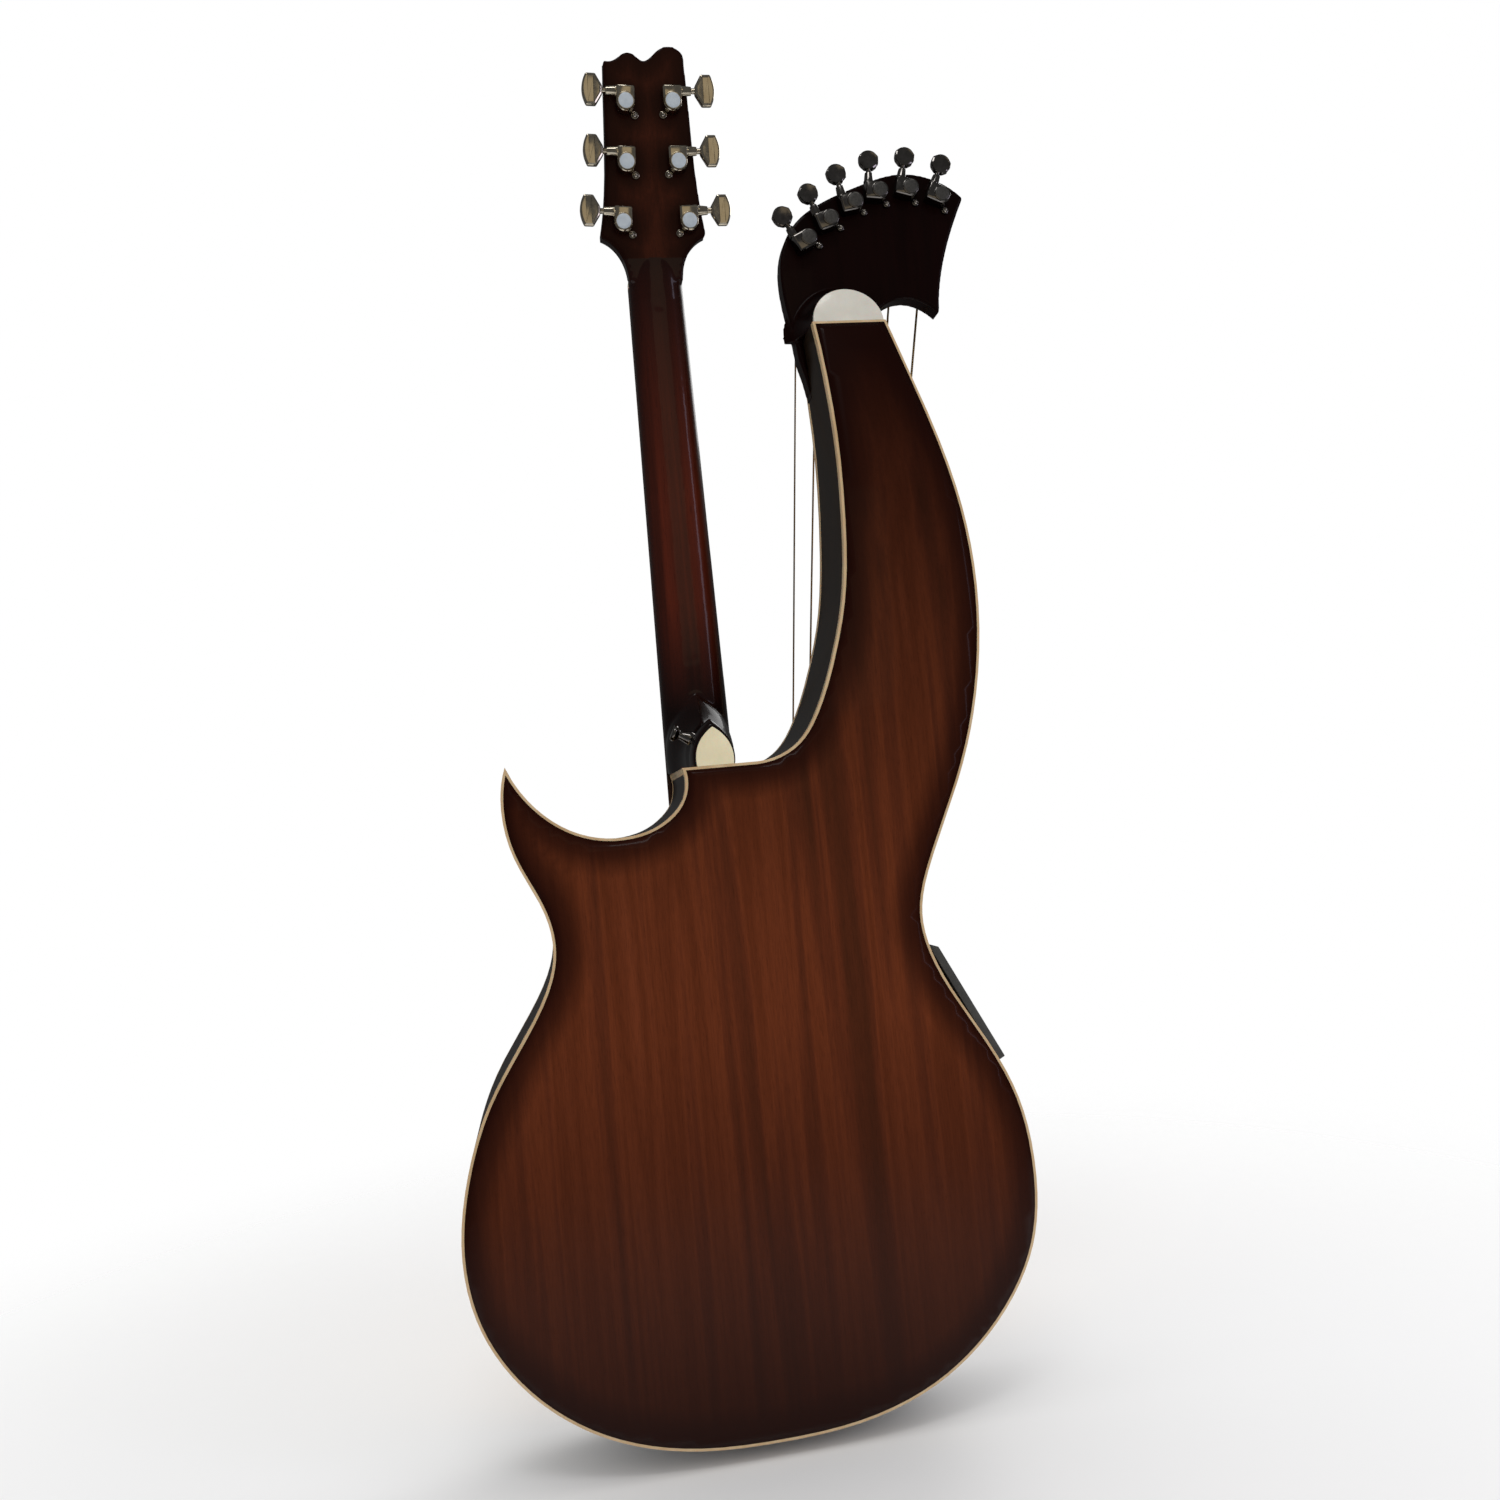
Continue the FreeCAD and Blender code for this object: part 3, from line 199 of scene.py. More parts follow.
stainedSide = lacqueredWood("stainedSideGloss", {  # near-black olive side
    "bandWide": 14, "bandLong": 120, "bands": [
        (0.3, "#17100A"), (0.5, "#20160D"), (0.7, "#1A120B")], "coat": 0.06, "specular": 0.06})
blackBrownHead = lacqueredWood("harpHeadBlackBrown", {  # dense dark stain under thick gloss
    "bandWide": 16, "bandLong": 160, "bands": [
        (0.3, "#0C0201"), (0.5, "#110302"), (0.7, "#0E0302")],
    "coat": 0.06, "specular": 0.06, "coatRoughness": 0.04, "fibre": 0.3, "pores": 0.2,
    "relief": 0.02})
darkVeneer = lacqueredWood("darkVeneerGloss", {
    "bandWide": 8, "bandLong": 200, "bands": [
        (0.3, "#110A07"), (0.5, "#1B110C"), (0.7, "#150D09")]})
oiledRosewood = lacqueredWood("oiledRosewood", {  # oiled, so it stays half matt
    "bandWide": 5, "bandLong": 160, "bands": [
        (0.3, "#2A1710"), (0.5, "#3D241A"), (0.7, "#4C2E20")],
    "coat": 0.0, "roughness": 0.45, "pores": 0.9, "relief": 0.3})
topSpruce = lacqueredWood("topSpruceGloss", {  # fine even grain lines, 1.6 mm apart
    "bandWide": 60, "bandLong": 900, "bands": [
        (0.3, "#C99A5B"), (0.5, "#D6AA6B"), (0.7, "#DDB679")],
    "fibreWide": 1.6, "fibreLong": 400, "fibre": 0.6, "pores": 0.1, "coat": 0.6})
bareLining = lacqueredWood("bareLiningWood", {
    "bandWide": 12, "bandLong": 80, "bands": [
        (0.3, "#A57F52"), (0.5, "#B8925F"), (0.7, "#C29C6B")],
    "coat": 0.0, "roughness": 0.6})


# Plastics, bone and shell

def mouldedPlastic(name, look):
    material, tree, shader = startMaterial(
        name, Roughness=look.get("roughness", 0.3), IOR=look.get("ior", 1.5),
        Coat_Weight=look.get("coat", 0.0), Coat_Roughness=0.08,
        Subsurface_Weight=look.get("glow", 0.0), Subsurface_Scale=0.002)
    cloud = addNode(tree, "TexNoise", {"Scale": 1, "Detail": 5, "Roughness": 0.6},
                    {"Vector": spread(tree, look.get("patchWide", 12), look.get("patchLong", 12))})
    colour = ramp(tree, cloud.outputs["Fac"], (0.3, look["dark"]), (0.7, look["light"]))
    tree.links.new(colour, shader.inputs["Base Color"])
    grit = addNode(tree, "TexNoise", {"Scale": 1, "Detail": 2},
                   {"Vector": spread(tree, look.get("grit", 0.5), look.get("grit", 0.5))})
    bumped(tree, shader, grit.outputs["Fac"], look.get("relief", 0.05), 0.0001)
    return material


creamBinding = mouldedPlastic("creamBindingCelluloid", {  # aged celluloid, scraped flush
    "dark": "#B99A70", "light": "#CDB38C", "patchLong": 60, "coat": 0.4, "glow": 0.1})
ivoryCap = mouldedPlastic("ivoryCapPlate", {  # polished off-white plate, faint yellowing
    "dark": "#CBC7BB", "light": "#D8D3C8", "patchWide": 18, "patchLong": 30, "coat": 0.4,
    "glow": 0.1})
heelIvory = mouldedPlastic("heelIvoryPlate", {  # the same plate, more yellowed by the hand
    "dark": "#DACEA8", "light": "#E8DDBB", "patchWide": 18, "patchLong": 30, "coat": 0.4,
    "glow": 0.1})
polishedBone = mouldedPlastic("polishedBone", {
    "dark": "#DDD0B0", "light": "#EEE6D0", "roughness": 0.25, "glow": 0.2})
blackPlastic = mouldedPlastic("blackPlastic", {"dark": "#0C0C0D", "light": "#131314"})
greyPlastic = mouldedPlastic("greyMouldedPlastic", {
    "dark": "#3C3C3A", "light": "#4A4A47", "roughness": 0.45, "grit": 0.8, "relief": 0.2})
pearlDot = mouldedPlastic("pearlDot", {
    "dark": "#C9CCD0", "light": "#F2F0EA", "patchWide": 3, "patchLong": 3, "roughness": 0.15})
rosetteInlay = mouldedPlastic("rosetteInlay", {
    "dark": "#6A4A2C", "light": "#E0D2B4", "patchWide": 2, "patchLong": 2})


# Metals

def platedMetal(name, look):
    material, tree, shader = startMaterial(name, Metallic=look.get("metallic", 1.0))
    smear = addNode(tree, "TexNoise", {"Scale": 1, "Detail": 5, "Roughness": 0.65},
                    {"Vector": spread(tree, look.get("smear", 5), look.get("smear", 5))})
    low, high = look["roughness"]
    rough = addNode(tree, "MapRange", {"From Min": 0.3, "From Max": 0.7, "To Min": low,
                                       "To Max": high}, {"Value": smear.outputs["Fac"]})
    tree.links.new(rough.outputs["Result"], shader.inputs["Roughness"])
    colour = ramp(tree, smear.outputs["Fac"], (0.3, look["dark"]), (0.7, look["light"]))
    tree.links.new(colour, shader.inputs["Base Color"])
    if "winding" in look:  # wire wound round a core, drawn coarser than real so that it shows
        coil = addNode(tree, "TexWave", {"Scale": 1, "bands_direction": "Z"},
                       {"Vector": spread(tree, 6.3 * look["winding"], 6.3 * look["winding"])})
        bumped(tree, shader, coil.outputs["Fac"], 0.6, 0.0003)
    return material


brightNickel = platedMetal("brightNickelPlate", {  # warm white plate with faint smears
    "dark": "#C6BBA6", "light": "#D8CFBC", "roughness": (0.08, 0.16)})
darkChrome = platedMetal("darkChromePlate", {  # smoky mirror plate
    "dark": "#6E6A66", "light": "#8C8884", "roughness": (0.08, 0.16)})
paleCap = platedMetal("satinNickelCap", {  # satin disc, so it stays pale from any side
    "dark": "#B2BCC6", "light": "#C3CCD4", "roughness": (0.3, 0.4), "metallic": 0.25})
smokedCap = platedMetal("satinSmokedCap", {
    "dark": "#373635", "light": "#55534F", "roughness": (0.3, 0.45), "metallic": 0.5,
    "smear": 1.2})
postPlate = platedMetal("postPlate", {"dark": "#A9A297", "light": "#CFC8BC",
                                      "roughness": (0.15, 0.25)})
fretWire = platedMetal("polishedFretWire", {"dark": "#BDB7AA", "light": "#DCD7CB",
                                            "roughness": (0.12, 0.2)})
rodSteel = platedMetal("plainRodSteel", {"dark": "#77767A", "light": "#8C8B8E",
                                         "roughness": (0.3, 0.45)})
steelString = platedMetal("plainSteelString", {"dark": "#A7A39A", "light": "#C8C4BA",
                                               "roughness": (0.2, 0.3), "winding": 0.8})
bronzeString = platedMetal("bronzeWoundString", {"dark": "#7C6440", "light": "#A58A5E",
                                                 "roughness": (0.25, 0.4), "winding": 1.0})
print("materials made")


# Helpers for pieces

def addPiece(name, mesh, material, standsFor, body="instrument"):
    piece = bpy.data.objects.new(name, mesh)
    bpy.context.scene.collection.objects.link(piece)
    mesh.materials.clear()
    mesh.materials.append(material)
    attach(piece, body)
    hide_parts(*standsFor)
    return piece


easing = {"weldGap": 0.02 * mm, "shortEdge": 0.01 * mm, "flatAngle": 1.2, "sharpAngle": 28,
          "segments": 3}


def cleanCopy(node):
    form = bmesh.new()
    form.from_mesh(nodes[node].data)
    bmesh.ops.remove_doubles(form, verts=form.verts, dist=easing["weldGap"])
    bmesh.ops.dissolve_degenerate(form, edges=form.edges, dist=easing["shortEdge"])
    return form


def eased(node, material, ease):
    form = cleanCopy(node)
    bmesh.ops.dissolve_limit(form, angle_limit=math.radians(easing["flatAngle"]),
                             verts=form.verts, edges=form.edges)
    mesh = bpy.data.meshes.new(node)
    form.to_mesh(mesh)
    form.free()
    piece = addPiece(node + "_made", mesh, material, [node], bodyOf[node])
    mesh.shade_smooth()
    sharp = math.radians(easing["sharpAngle"])
    if ease:
        bevel = piece.modifiers.new("easedEdges", "BEVEL")
        bevel.width, bevel.segments = ease, easing["segments"]
        bevel.limit_method, bevel.angle_limit = "ANGLE", sharp
        bevel.harden_normals = True
        bevel.use_clamp_overlap = True
    else:
        mesh.set_sharp_from_angle(angle=sharp)


def applied(piece):
    shape = piece.evaluated_get(bpy.context.evaluated_depsgraph_get())
    mesh = bpy.data.meshes.new_from_object(shape)
    piece.modifiers.clear()
    piece.data = mesh
    return mesh


def markEdgeDistance(mesh, isEdge):
    # how far each point lies from the nearest outer edge, in millimetres
    spots = [v.co for v in mesh.vertices if isEdge(v)]
    tree = kdtree.KDTree(len(spots))
    for number, spot in enumerate(spots):
        tree.insert(spot, number)
    tree.balance()
    layer = mesh.attributes.new("edgeDistance", "FLOAT", "POINT")
    layer.data.foreach_set("value", [tree.find(v.co)[2] / mm for v in mesh.vertices])


def carved(node, name, material, strokes, grain=1.2 * mm):
    form = cleanCopy(node)
    mesh = bpy.data.meshes.new(name)
    form.to_mesh(mesh)
    form.free()
    piece = addPiece(name, mesh, material, [node], bodyOf[node])
    remesh = piece.modifiers.new("grid", "REMESH")
    remesh.mode, remesh.voxel_size = "VOXEL", grain
    smooth = piece.modifiers.new("sanded", "SMOOTH")
    smooth.factor, smooth.iterations = 0.5, strokes
    mesh = applied(piece)
    mesh.materials.clear()
    mesh.materials.append(material)
    mesh.shade_smooth()
    return piece


# The back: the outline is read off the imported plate, and the surface is slightly domed.
backLook = {"step": 7 * mm, "borderStep": 2.5 * mm, "dome": 2.2 * mm, "domeReach": 90 * mm,
            "lift": 0.1 * mm, "binTall": 14 * mm, "thick": 3 * mm, "faceTurn": 0.8}


def outlineLoops(node):
    form = cleanCopy(node)
    form.normal_update()
    facing = {f for f in form.faces if f.normal.y > backLook["faceTurn"]}
    rim = [e for e in form.edges if sum(f in facing for f in e.link_faces) == 1]
    follow = {}
    for edge in rim:
        a, b = edge.verts
        follow.setdefault(a, []).append(b)
        follow.setdefault(b, []).append(a)
    loops, seen = [], set()
    for start in follow:
        if start in seen:
            continue
        loop, here = [], start
        while here is not None:
            seen.add(here)
            loop.append(here.co.copy())
            here = next((v for v in follow[here] if v not in seen), None)
        loops.append(loop)
    form.free()
    return sorted(loops, key=len, reverse=True)


def densified(loop, gap):
    dense = []
    for here, after in zip(loop, loop[1:] + loop[:1]):
        parts = max(1, math.ceil((after - here).length / gap))
        dense += [here.lerp(after, k / parts) for k in range(parts)]
    return dense


def makeBack():
    loop = densified(outlineLoops("back_plate")[0], backLook["borderStep"])
    low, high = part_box("back_plate")
    step = backLook["step"]
    count = len(loop)
    border = [Vector((p.x, p.z)) for p in loop]
    tree = kdtree.KDTree(count)
    for number, p in enumerate(border):
        tree.insert((p.x, p.y, 0), number)
    tree.balance()
    across, along = int((high.x - low.x) / step), int((high.z - low.z) / step)
    grid = [Vector((low.x + i * step, low.z + k * step))
            for i in range(across + 1) for k in range(along + 1)]
    inside = [p for p in grid if tree.find((p.x, p.y, 0))[2] > step / 2]
    edges = [(i, (i + 1) % count) for i in range(count)]
    points, _, faces, *_ = geometry.delaunay_2d_cdt(
        border + inside, edges, [range(count)], 1, 1e-6)
    bins = {}
    for p in loop:
        bins.setdefault(int((p.z - low.z) / backLook["binTall"]), []).append((p.z, p.y))
    profile = [[sum(part) / len(spots) for part in zip(*spots)]
               for _, spots in sorted(bins.items())]

    def depthAt(z):
        after = next((k for k, spot in enumerate(profile) if spot[0] >= z), len(profile) - 1)
        after = max(after, 1)
        (z0, y0), (z1, y1) = profile[after - 1], profile[after]
        return y0 + (y1 - y0) * (z - z0) / (z1 - z0)

    heights = []
    for p in points:
        away = tree.find((p.x, p.y, 0))[2]
        share = min(away / backLook["domeReach"], 1)
        dome = backLook["dome"] * (1 - (1 - share) ** 2)
        heights.append(depthAt(p.y) + backLook["lift"] + dome)
    mesh = bpy.data.meshes.new("backShell")
    mesh.from_pydata([(p.x, y, p.y) for p, y in zip(points, heights)], [],
                     [list(reversed(f)) for f in faces])
    mesh.update()
    if sum(p.normal.y for p in mesh.polygons) < 0:
        mesh.flip_normals()
    layer = mesh.attributes.new("edgeDistance", "FLOAT", "POINT")
    layer.data.foreach_set("value", [tree.find((p.x, p.y, 0))[2] / mm for p in points])
    piece = addPiece("backPlateShell", mesh, ribbonMahogany, ["back_plate"])
    mesh.shade_smooth()
    thick = piece.modifiers.new("plate", "SOLIDIFY")
    thick.thickness, thick.offset = backLook["thick"], -1


makeBack()
print("back made")

# The neck, heel and headstock are one carved piece, and so is the harp head.
neckLook = {"strokes": 8, "headAboveNut": 12 * mm, "edgeTurn": 0.35, "edgeDeep": 4 * mm}
neckPiece = carved("neck", "neckCarved", neckMahogany, neckLook["strokes"])


def finishNeck():
    mesh = neckPiece.data
    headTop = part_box("nut")[1].z + neckLook["headAboveNut"]

    def onEdge(vertex):
        sideways = abs(vertex.normal.y) < neckLook["edgeTurn"]
        return sideways and (vertex.co.z > headTop or vertex.co.y < neckLook["edgeDeep"])

    markEdgeDistance(mesh, onEdge)
    mesh.materials.append(headMahogany)
    for face in mesh.polygons:
        face.material_index = int(face.center.z > headTop)


finishNeck()
harpHeadStrokes = 5
carved("harp_head", "harpHeadCarved", blackBrownHead, harpHeadStrokes)
print("neck and heads carved")

# Everything else keeps its packed form, with its edges eased as a maker would.
easedLooks = {
    "heel_cap": (heelIvory, "ivory_plate", 0.5), "arm_end_cap": (ivoryCap, "ivory_plate", 0.4),
    "corner_strip": (creamBinding, "ivory_binding", 0.4),
    "front_binding": (creamBinding, "ivory_binding", 0.6),
    "back_binding": (creamBinding, "ivory_binding", 0.6),
    "side_rim": (stainedSide, "dark_side", 0), "strap_button": (darkChrome, "black_chrome", 0.5),
    "head_veneer": (darkVeneer, "dark_veneer", 0.4),
    "truss_rod_cover": (blackPlastic, "black_plastic", 0.3),
    "fretboard": (oiledRosewood, "rosewood", 0.4), "frets": (fretWire, "fret_wire", 0),
    "nut": (polishedBone, "bone", 0.3), "saddles": (polishedBone, "bone", 0.5),
    "harp_nut": (polishedBone, "bone", 0.6), "bridge": (oiledRosewood, "rosewood", 1.2),
    "bridge_pins": (polishedBone, "bone", 0), "rosette": (rosetteInlay, "rosette_inlay", 0),
    "tuner_screws": (postPlate, "post_steel", 0.2),
    "output_jack": (darkChrome, "black_chrome", 0.3),
    "preamp_panel": (greyPlastic, "grey_plastic", 1.0),
    "volume_knob": (blackPlastic, "black_plastic", 0.8),
    "tone_knob": (blackPlastic, "black_plastic", 0.8),
}
for number in range(1, 7):
    easedLooks[f"main_post_{number}"] = (postPlate, "post_steel", 0.3)
    easedLooks[f"harp_post_{number}"] = (postPlate, "post_steel", 0.3)
for node, (material, slotName, ease) in easedLooks.items():
    eased(node, material, ease * mm)
print("fittings eased")

# Tuning machines, built in millimetres about the place where each post leaves the wood:
# X along the button's shaft, Y out of the back of the head, Z across.
tunerLooks = {
    "main": {"case": brightNickel, "disc": paleCap, "slot": "nickel",
             "outline": [(0, 3), (5.5, 12), (13, 12)], "bulge": 16.4},
    "harp": {"case": darkChrome, "disc": smokedCap, "slot": "black_chrome",
             "outline": [(0, 3.4), (3.4, 7.4), (6.6, 8.5), (11.5, 8.5), (15, 5)], "bulge": 16.6}}
tunerSizes = {
    "shaftHigh": 5.6, "shaftAside": 8.6, "caseRadius": 7.7, "caseReach": 12.4, "caseTall": 11,
    "discRadius": 6.9, "discProud": 0.8, "earRadius": 3, "earTall": 2, "earAside": (-7.7, -7.9),
    "collar": [(7.4, 4.4), (8.2, 4.4), (8.6, 4.0), (14.8, 3.4), (15.6, 3.2), (16, 2.6)],
    "shaftRadius": 2.2, "shaftFrom": 15.4, "shaftFlare": 0.5, "buttonStart": 18.5,
    "buttonThick": 6.4, "buttonCorner": 0.9, "sharpAngle": 24,
    # rounded rims: how far in from the outline, and how far above or below the top
    "caseRim": [(0, -2.2), (0.25, -1.1), (0.9, -0.3), (1.8, 0)],
    "earRim": [(0, -0.5), (0.15, -0.15), (0.5, 0)],
    "ringRim": [(0, -0.4), (0.15, -0.12), (0.45, 0), (0.8, 0), (1.05, -0.25)],
    "discRim": [(0, -0.5), (0, -0.18), (0.3, -0.04), (2.2, 0.02), (4.4, 0.06)],
    "buttonRim": [(0, -1.4), (0.5, -0.5), (1.5, 0), (2.6, -0.16)],
    "collarSides": 40, "shaftSides": 28, "earSides": 32, "discSides": 64, "arcParts": 24,
    "caseCorner": 1.6, "cornerCut": 0.5,
    "swellShares": (-0.8, -0.55, -0.3, 0, 0.3, 0.55, 0.8), "ringWide": 1.05, "ringSunk": 0.4}


def roundedOutline(points, reach):
    rounded = []
    for before, here, after in zip(points[-1:] + points[:-1], points, points[1:] + points[:1]):
        back, on = before - here, after - here
        start = here + back.normalized() * min(reach, back.length * 0.4)
        end = here + on.normalized() * min(reach, on.length * 0.4)
        rounded += [start, (start + end + here * 2) / 4, end]
    return rounded


def movedIn(points, gap):
    moved = []
    for before, here, after in zip(points[-1:] + points[:-1], points, points[1:] + points[:1]):
        along = (here - before).normalized() + (after - here).normalized()
        inward = Vector((-along.y, along.x)).normalized()
        moved.append(here + inward * gap)
    return moved


def closedTube(form, rings):
    count = len(rings[0])
    for lower, upper in zip(rings, rings[1:]):
        for k in range(count):
            n = (k + 1) % count
            form.faces.new((lower[k], lower[n], upper[n], upper[k]))
    form.faces.new(list(reversed(rings[0])))
    form.faces.new(rings[-1])


def layered(form, points, steps, place):
    # steps: how far in and how high each ring of the outline lies
    closedTube(form, [[form.verts.new(place(p, high)) for p in movedIn(points, gap)]
                      for gap, high in steps])


def circle(radius, count):
    angles = [k / count * math.tau for k in range(count)]
    return [Vector((radius * math.cos(a), radius * math.sin(a))) for a in angles]


def turned(form, profile, place, count):
    closedTube(form, [[form.verts.new(place(along, spot)) for spot in circle(radius, count)]
                      for along, radius in profile])


def finishedPiece(name, form, place, material, standsFor, body):
    bmesh.ops.recalc_face_normals(form, faces=form.faces)
    for vert in form.verts:
        vert.co = place @ (vert.co * mm)
    mesh = bpy.data.meshes.new(name)
    form.to_mesh(mesh)
    form.free()
    addPiece(name, mesh, material, standsFor, body)
    mesh.shade_smooth()
    mesh.set_sharp_from_angle(angle=math.radians(tunerSizes["sharpAngle"]))


def caseOutline(hand):
    radius, reach, parts = (tunerSizes[key] for key in ("caseRadius", "caseReach", "arcParts"))
    corner, cut = tunerSizes["caseCorner"], tunerSizes["cornerCut"]
    arc = [Vector((radius * math.cos(a), radius * math.sin(a)))
           for a in (math.pi + math.pi * k / parts for k in range(parts + 1))]
    right = [Vector((radius, reach - corner)), Vector((radius - cut, reach - cut)),
             Vector((radius - corner, reach))]
    points = arc + right + [Vector((-p.x, p.y)) for p in reversed(right)]
    return points if hand > 0 else [Vector((p.x, -p.y)) for p in reversed(points)]


def makeTuner(family, number, post, button):
    look, size = tunerLooks[family], tunerSizes
    out = -Vector(post["axis"]).normalized()
    along = Vector(button["axis"])
    along = (along - out * along.dot(out)).normalized()
    across = along.cross(out)
    origin = Vector(post["pos_m"])
    hand = 1 if (Vector(button["pos_m"]) - origin).dot(across) > 0 else -1
    place = Matrix.Translation(origin) @ Matrix((along, out, across)).transposed().to_4x4()
    shaft = Vector((0, size["shaftHigh"], size["shaftAside"] * hand))
    ear = Vector((size["earAside"][0], size["earAside"][1] * hand))
    tall = size["caseTall"]
    top = tall + size["discProud"]

    def onBack(p, high):
        return Vector((p.x, high, p.y))

    def onEar(p, high):
        return Vector((p.x + ear.x, high, p.y + ear.y))

    def roundShaft(x, p):
        return Vector((x, p.x + shaft.y, p.y + shaft.z))

    def acrossShaft(p, high):
        return Vector((p.x, high + shaft.y, p.y + shaft.z))

    def rim(kind, height):
        return [(gap, height + rise) for gap, rise in size[kind]]

    case = bmesh.new()
    layered(case, caseOutline(hand), [(0, 0)] + rim("caseRim", tall), onBack)
    layered(case, circle(size["earRadius"], size["earSides"]),
            [(0, 0)] + rim("earRim", size["earTall"]), onEar)
    turned(case, size["collar"], roundShaft, size["collarSides"])
    layered(case, circle(size["discRadius"], size["discSides"]),
            [(0, tall - size["ringSunk"])] + rim("ringRim", top), onBack)
    finishedPiece(f"{family}TunerCase{number}", case, place, look["case"],
                  [f"{family}_tuner_housings"], "instrument")

    disc = bmesh.new()
    layered(disc, circle(size["discRadius"] - size["ringWide"], size["discSides"]),
            rim("discRim", top), onBack)
    finishedPiece(f"{family}TunerDisc{number}", disc, place, look["disc"],
                  [f"{family}_tuner_housings"], "instrument")

    handle = bmesh.new()
    start = size["buttonStart"]
    half = [Vector((x + start, z)) for x, z in look["outline"]]
    end, swell = half[-1], look["bulge"] + start - half[-1].x
    arc = [Vector((end.x + swell * (1 - share * share), end.y * share))
           for share in size["swellShares"]]
    outline = roundedOutline([Vector((p.x, -p.y)) for p in half] + arc + list(reversed(half)),
                             size["buttonCorner"])
    upper = rim("buttonRim", size["buttonThick"] / 2)
    layered(handle, outline, [(gap, -high) for gap, high in reversed(upper)] + upper, acrossShaft)
    radius = size["shaftRadius"]
    turned(handle, [(size["shaftFrom"], radius), (start - 0.5, radius),
                    (start + 1.5, radius + size["shaftFlare"])], roundShaft,
           size["shaftSides"])
    finishedPiece(f"{family}Button{number}", handle, place, look["case"],
                  [f"{family}_button_{number}"], f"{family}_button_{number}_body")


joints = {joint["name"]: joint for joint in frame["record"]["behaviour"]["joints"]}
for family in tunerLooks:
    for number in range(1, 7):
        makeTuner(family, number, joints[f"{family}_post_{number}_wind"],
                  joints[f"{family}_button_{number}_turn"])
print("tuning machines made")

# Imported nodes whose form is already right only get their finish.
paintedNodes = {
    "soundboard": topSpruce, "neck_block": bareLining, "tail_block": bareLining,
    "linings": bareLining, "braces": bareLining, "truss_rod": rodSteel,
    "main_strings": steelString, "harp_strings": bronzeString, "fret_markers": pearlDot,
}
for node, material in paintedNodes.items():
    slots = nodes[node].data.materials
    for index in range(max(len(slots), 1)):
        if len(slots) > index:
            slots[index] = material
        else:
            slots.append(material)

# Floor, light and camera
studio = {
    "floorDrop": 0.5 * mm, "floorWide": 1.7, "fadeFrom": 0.4, "fadeTo": 1.15,
    "lens": 30.42, "cameraPlace": (0.1268, 1.0286, -0.4548),
    "cameraForward": (-0.16241, -0.98495, 0.05914), "cameraRight": (-0.98311, 0.15640, -0.09503),
    "backdrop": 1.0, "roomFill": 0.75, "roomMirror": 0.09,
    "lamps": [  # place, aimed at, width, height, watts, colour
        ((-1.7, 1.5, 0.0), (0, 0, -0.3), 0.3, 1.4, 3.5, "#E9E4FF"),
        ((0.3, 1.6, 1.9), (0, 0, -0.4), 1.2, 0.5, 9, "#FFFFFF"),
        ((-0.24, 2.1, 0.45), (0, 0, 0.05), 0.8, 0.9, 1.0, "#E3CFA8"),
        ((-1.6, -1.7, 1.2), (0, 0, -0.4), 1.6, 1.2, 16, "#FFFFFF")],
}


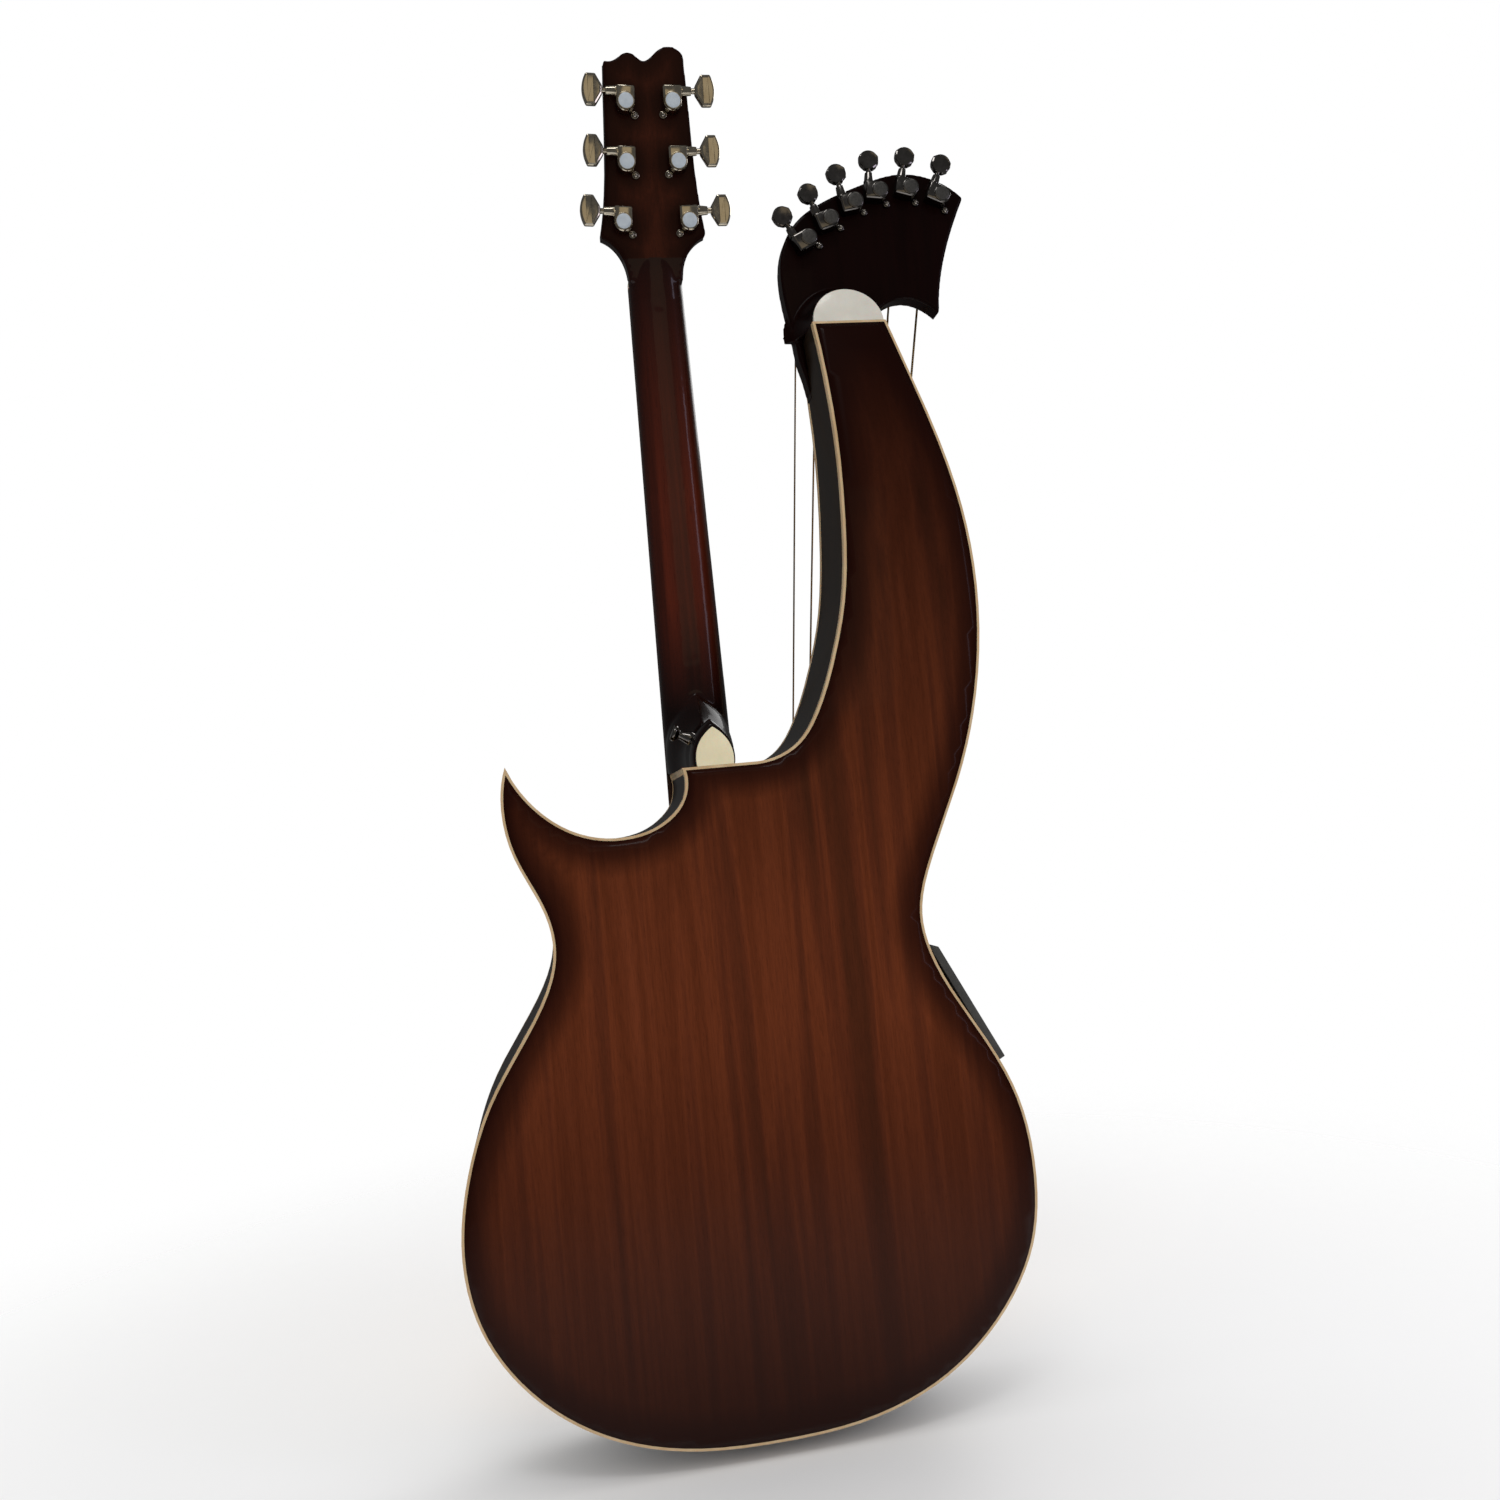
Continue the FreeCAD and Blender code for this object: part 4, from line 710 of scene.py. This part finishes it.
def makeStudio():
    bpy.ops.mesh.primitive_circle_add(vertices=128, radius=studio["floorWide"], fill_type="NGON",
                                      location=(0, 0, cadLow.z - studio["floorDrop"]))
    floor = bpy.context.object
    floor.name = "studioFloor"
    paper, tree, shader = startMaterial("palePaper", Roughness=0.9, Specular_IOR_Level=0.1)
    shader.inputs["Base Color"].default_value = linear("#FDFDFD")
    place = addNode(tree, "TexCoord")
    flat = addNode(tree, "VectorMath", {"operation": "LENGTH"}, {0: place.outputs["Object"]})
    fading = {"interpolation_type": "SMOOTHSTEP", "From Min": studio["fadeFrom"],
              "From Max": studio["fadeTo"], "To Min": 1, "To Max": 0}
    fade = addNode(tree, "MapRange", fading, {"Value": flat.outputs["Value"]})
    tree.links.new(fade.outputs["Result"], shader.inputs["Alpha"])
    floor.data.materials.append(paper)
    for number, (place, aim, wide, tall, watts, tint) in enumerate(studio["lamps"], start=1):
        lamp = bpy.data.lights.new(f"softbox{number}", "AREA")
        lamp.shape, lamp.size, lamp.size_y, lamp.energy = "RECTANGLE", wide, tall, watts
        lamp.color = linear(tint)[:3]
        holder = bpy.data.objects.new(lamp.name, lamp)
        bpy.context.scene.collection.objects.link(holder)
        holder.location = place
        holder.rotation_euler = (Vector(aim) - Vector(place)).to_track_quat("-Z", "Y").to_euler()
    world = bpy.data.worlds.new("studioRoom")
    bpy.context.scene.world = world
    world.use_nodes = True
    tree = world.node_tree
    tree.nodes.clear()
    seen = addNode(tree, "LightPath")
    fill = addNode(tree, "Background", {"Strength": studio["roomFill"], "Color": (1, 1, 1, 1)})
    mirror = addNode(tree, "Background", {"Strength": studio["roomMirror"], "Color": (1, 1, 1, 1)})
    backdrop = addNode(tree, "Background", {"Color": (1, 1, 1, 1), "Strength": studio["backdrop"]})
    inMirror = addNode(tree, "MixShader", links={0: seen.outputs["Is Glossy Ray"],
                                                 1: fill.outputs[0], 2: mirror.outputs[0]})
    choice = addNode(tree, "MixShader", links={0: seen.outputs["Is Camera Ray"],
                                               1: inMirror.outputs[0], 2: backdrop.outputs[0]})
    addNode(tree, "OutputWorld", links={"Surface": choice.outputs[0]})


def makeCamera():
    lens = bpy.data.cameras.new("viewpoint")
    lens.lens, lens.sensor_width = studio["lens"], 36
    lens.clip_start, lens.clip_end = 0.05, 100
    camera = bpy.data.objects.new("viewpoint", lens)
    bpy.context.scene.collection.objects.link(camera)
    forward = Vector(studio["cameraForward"]).normalized()
    right = Vector(studio["cameraRight"]).normalized()
    up = right.cross(forward)
    turned = Matrix((right, up, -forward)).transposed()
    camera.matrix_world = Matrix.Translation(studio["cameraPlace"]) @ turned.to_4x4()
    bpy.context.scene.camera = camera


makeStudio()
makeCamera()
bpy.context.scene.view_settings.view_transform = "Standard"
print("scene ready")
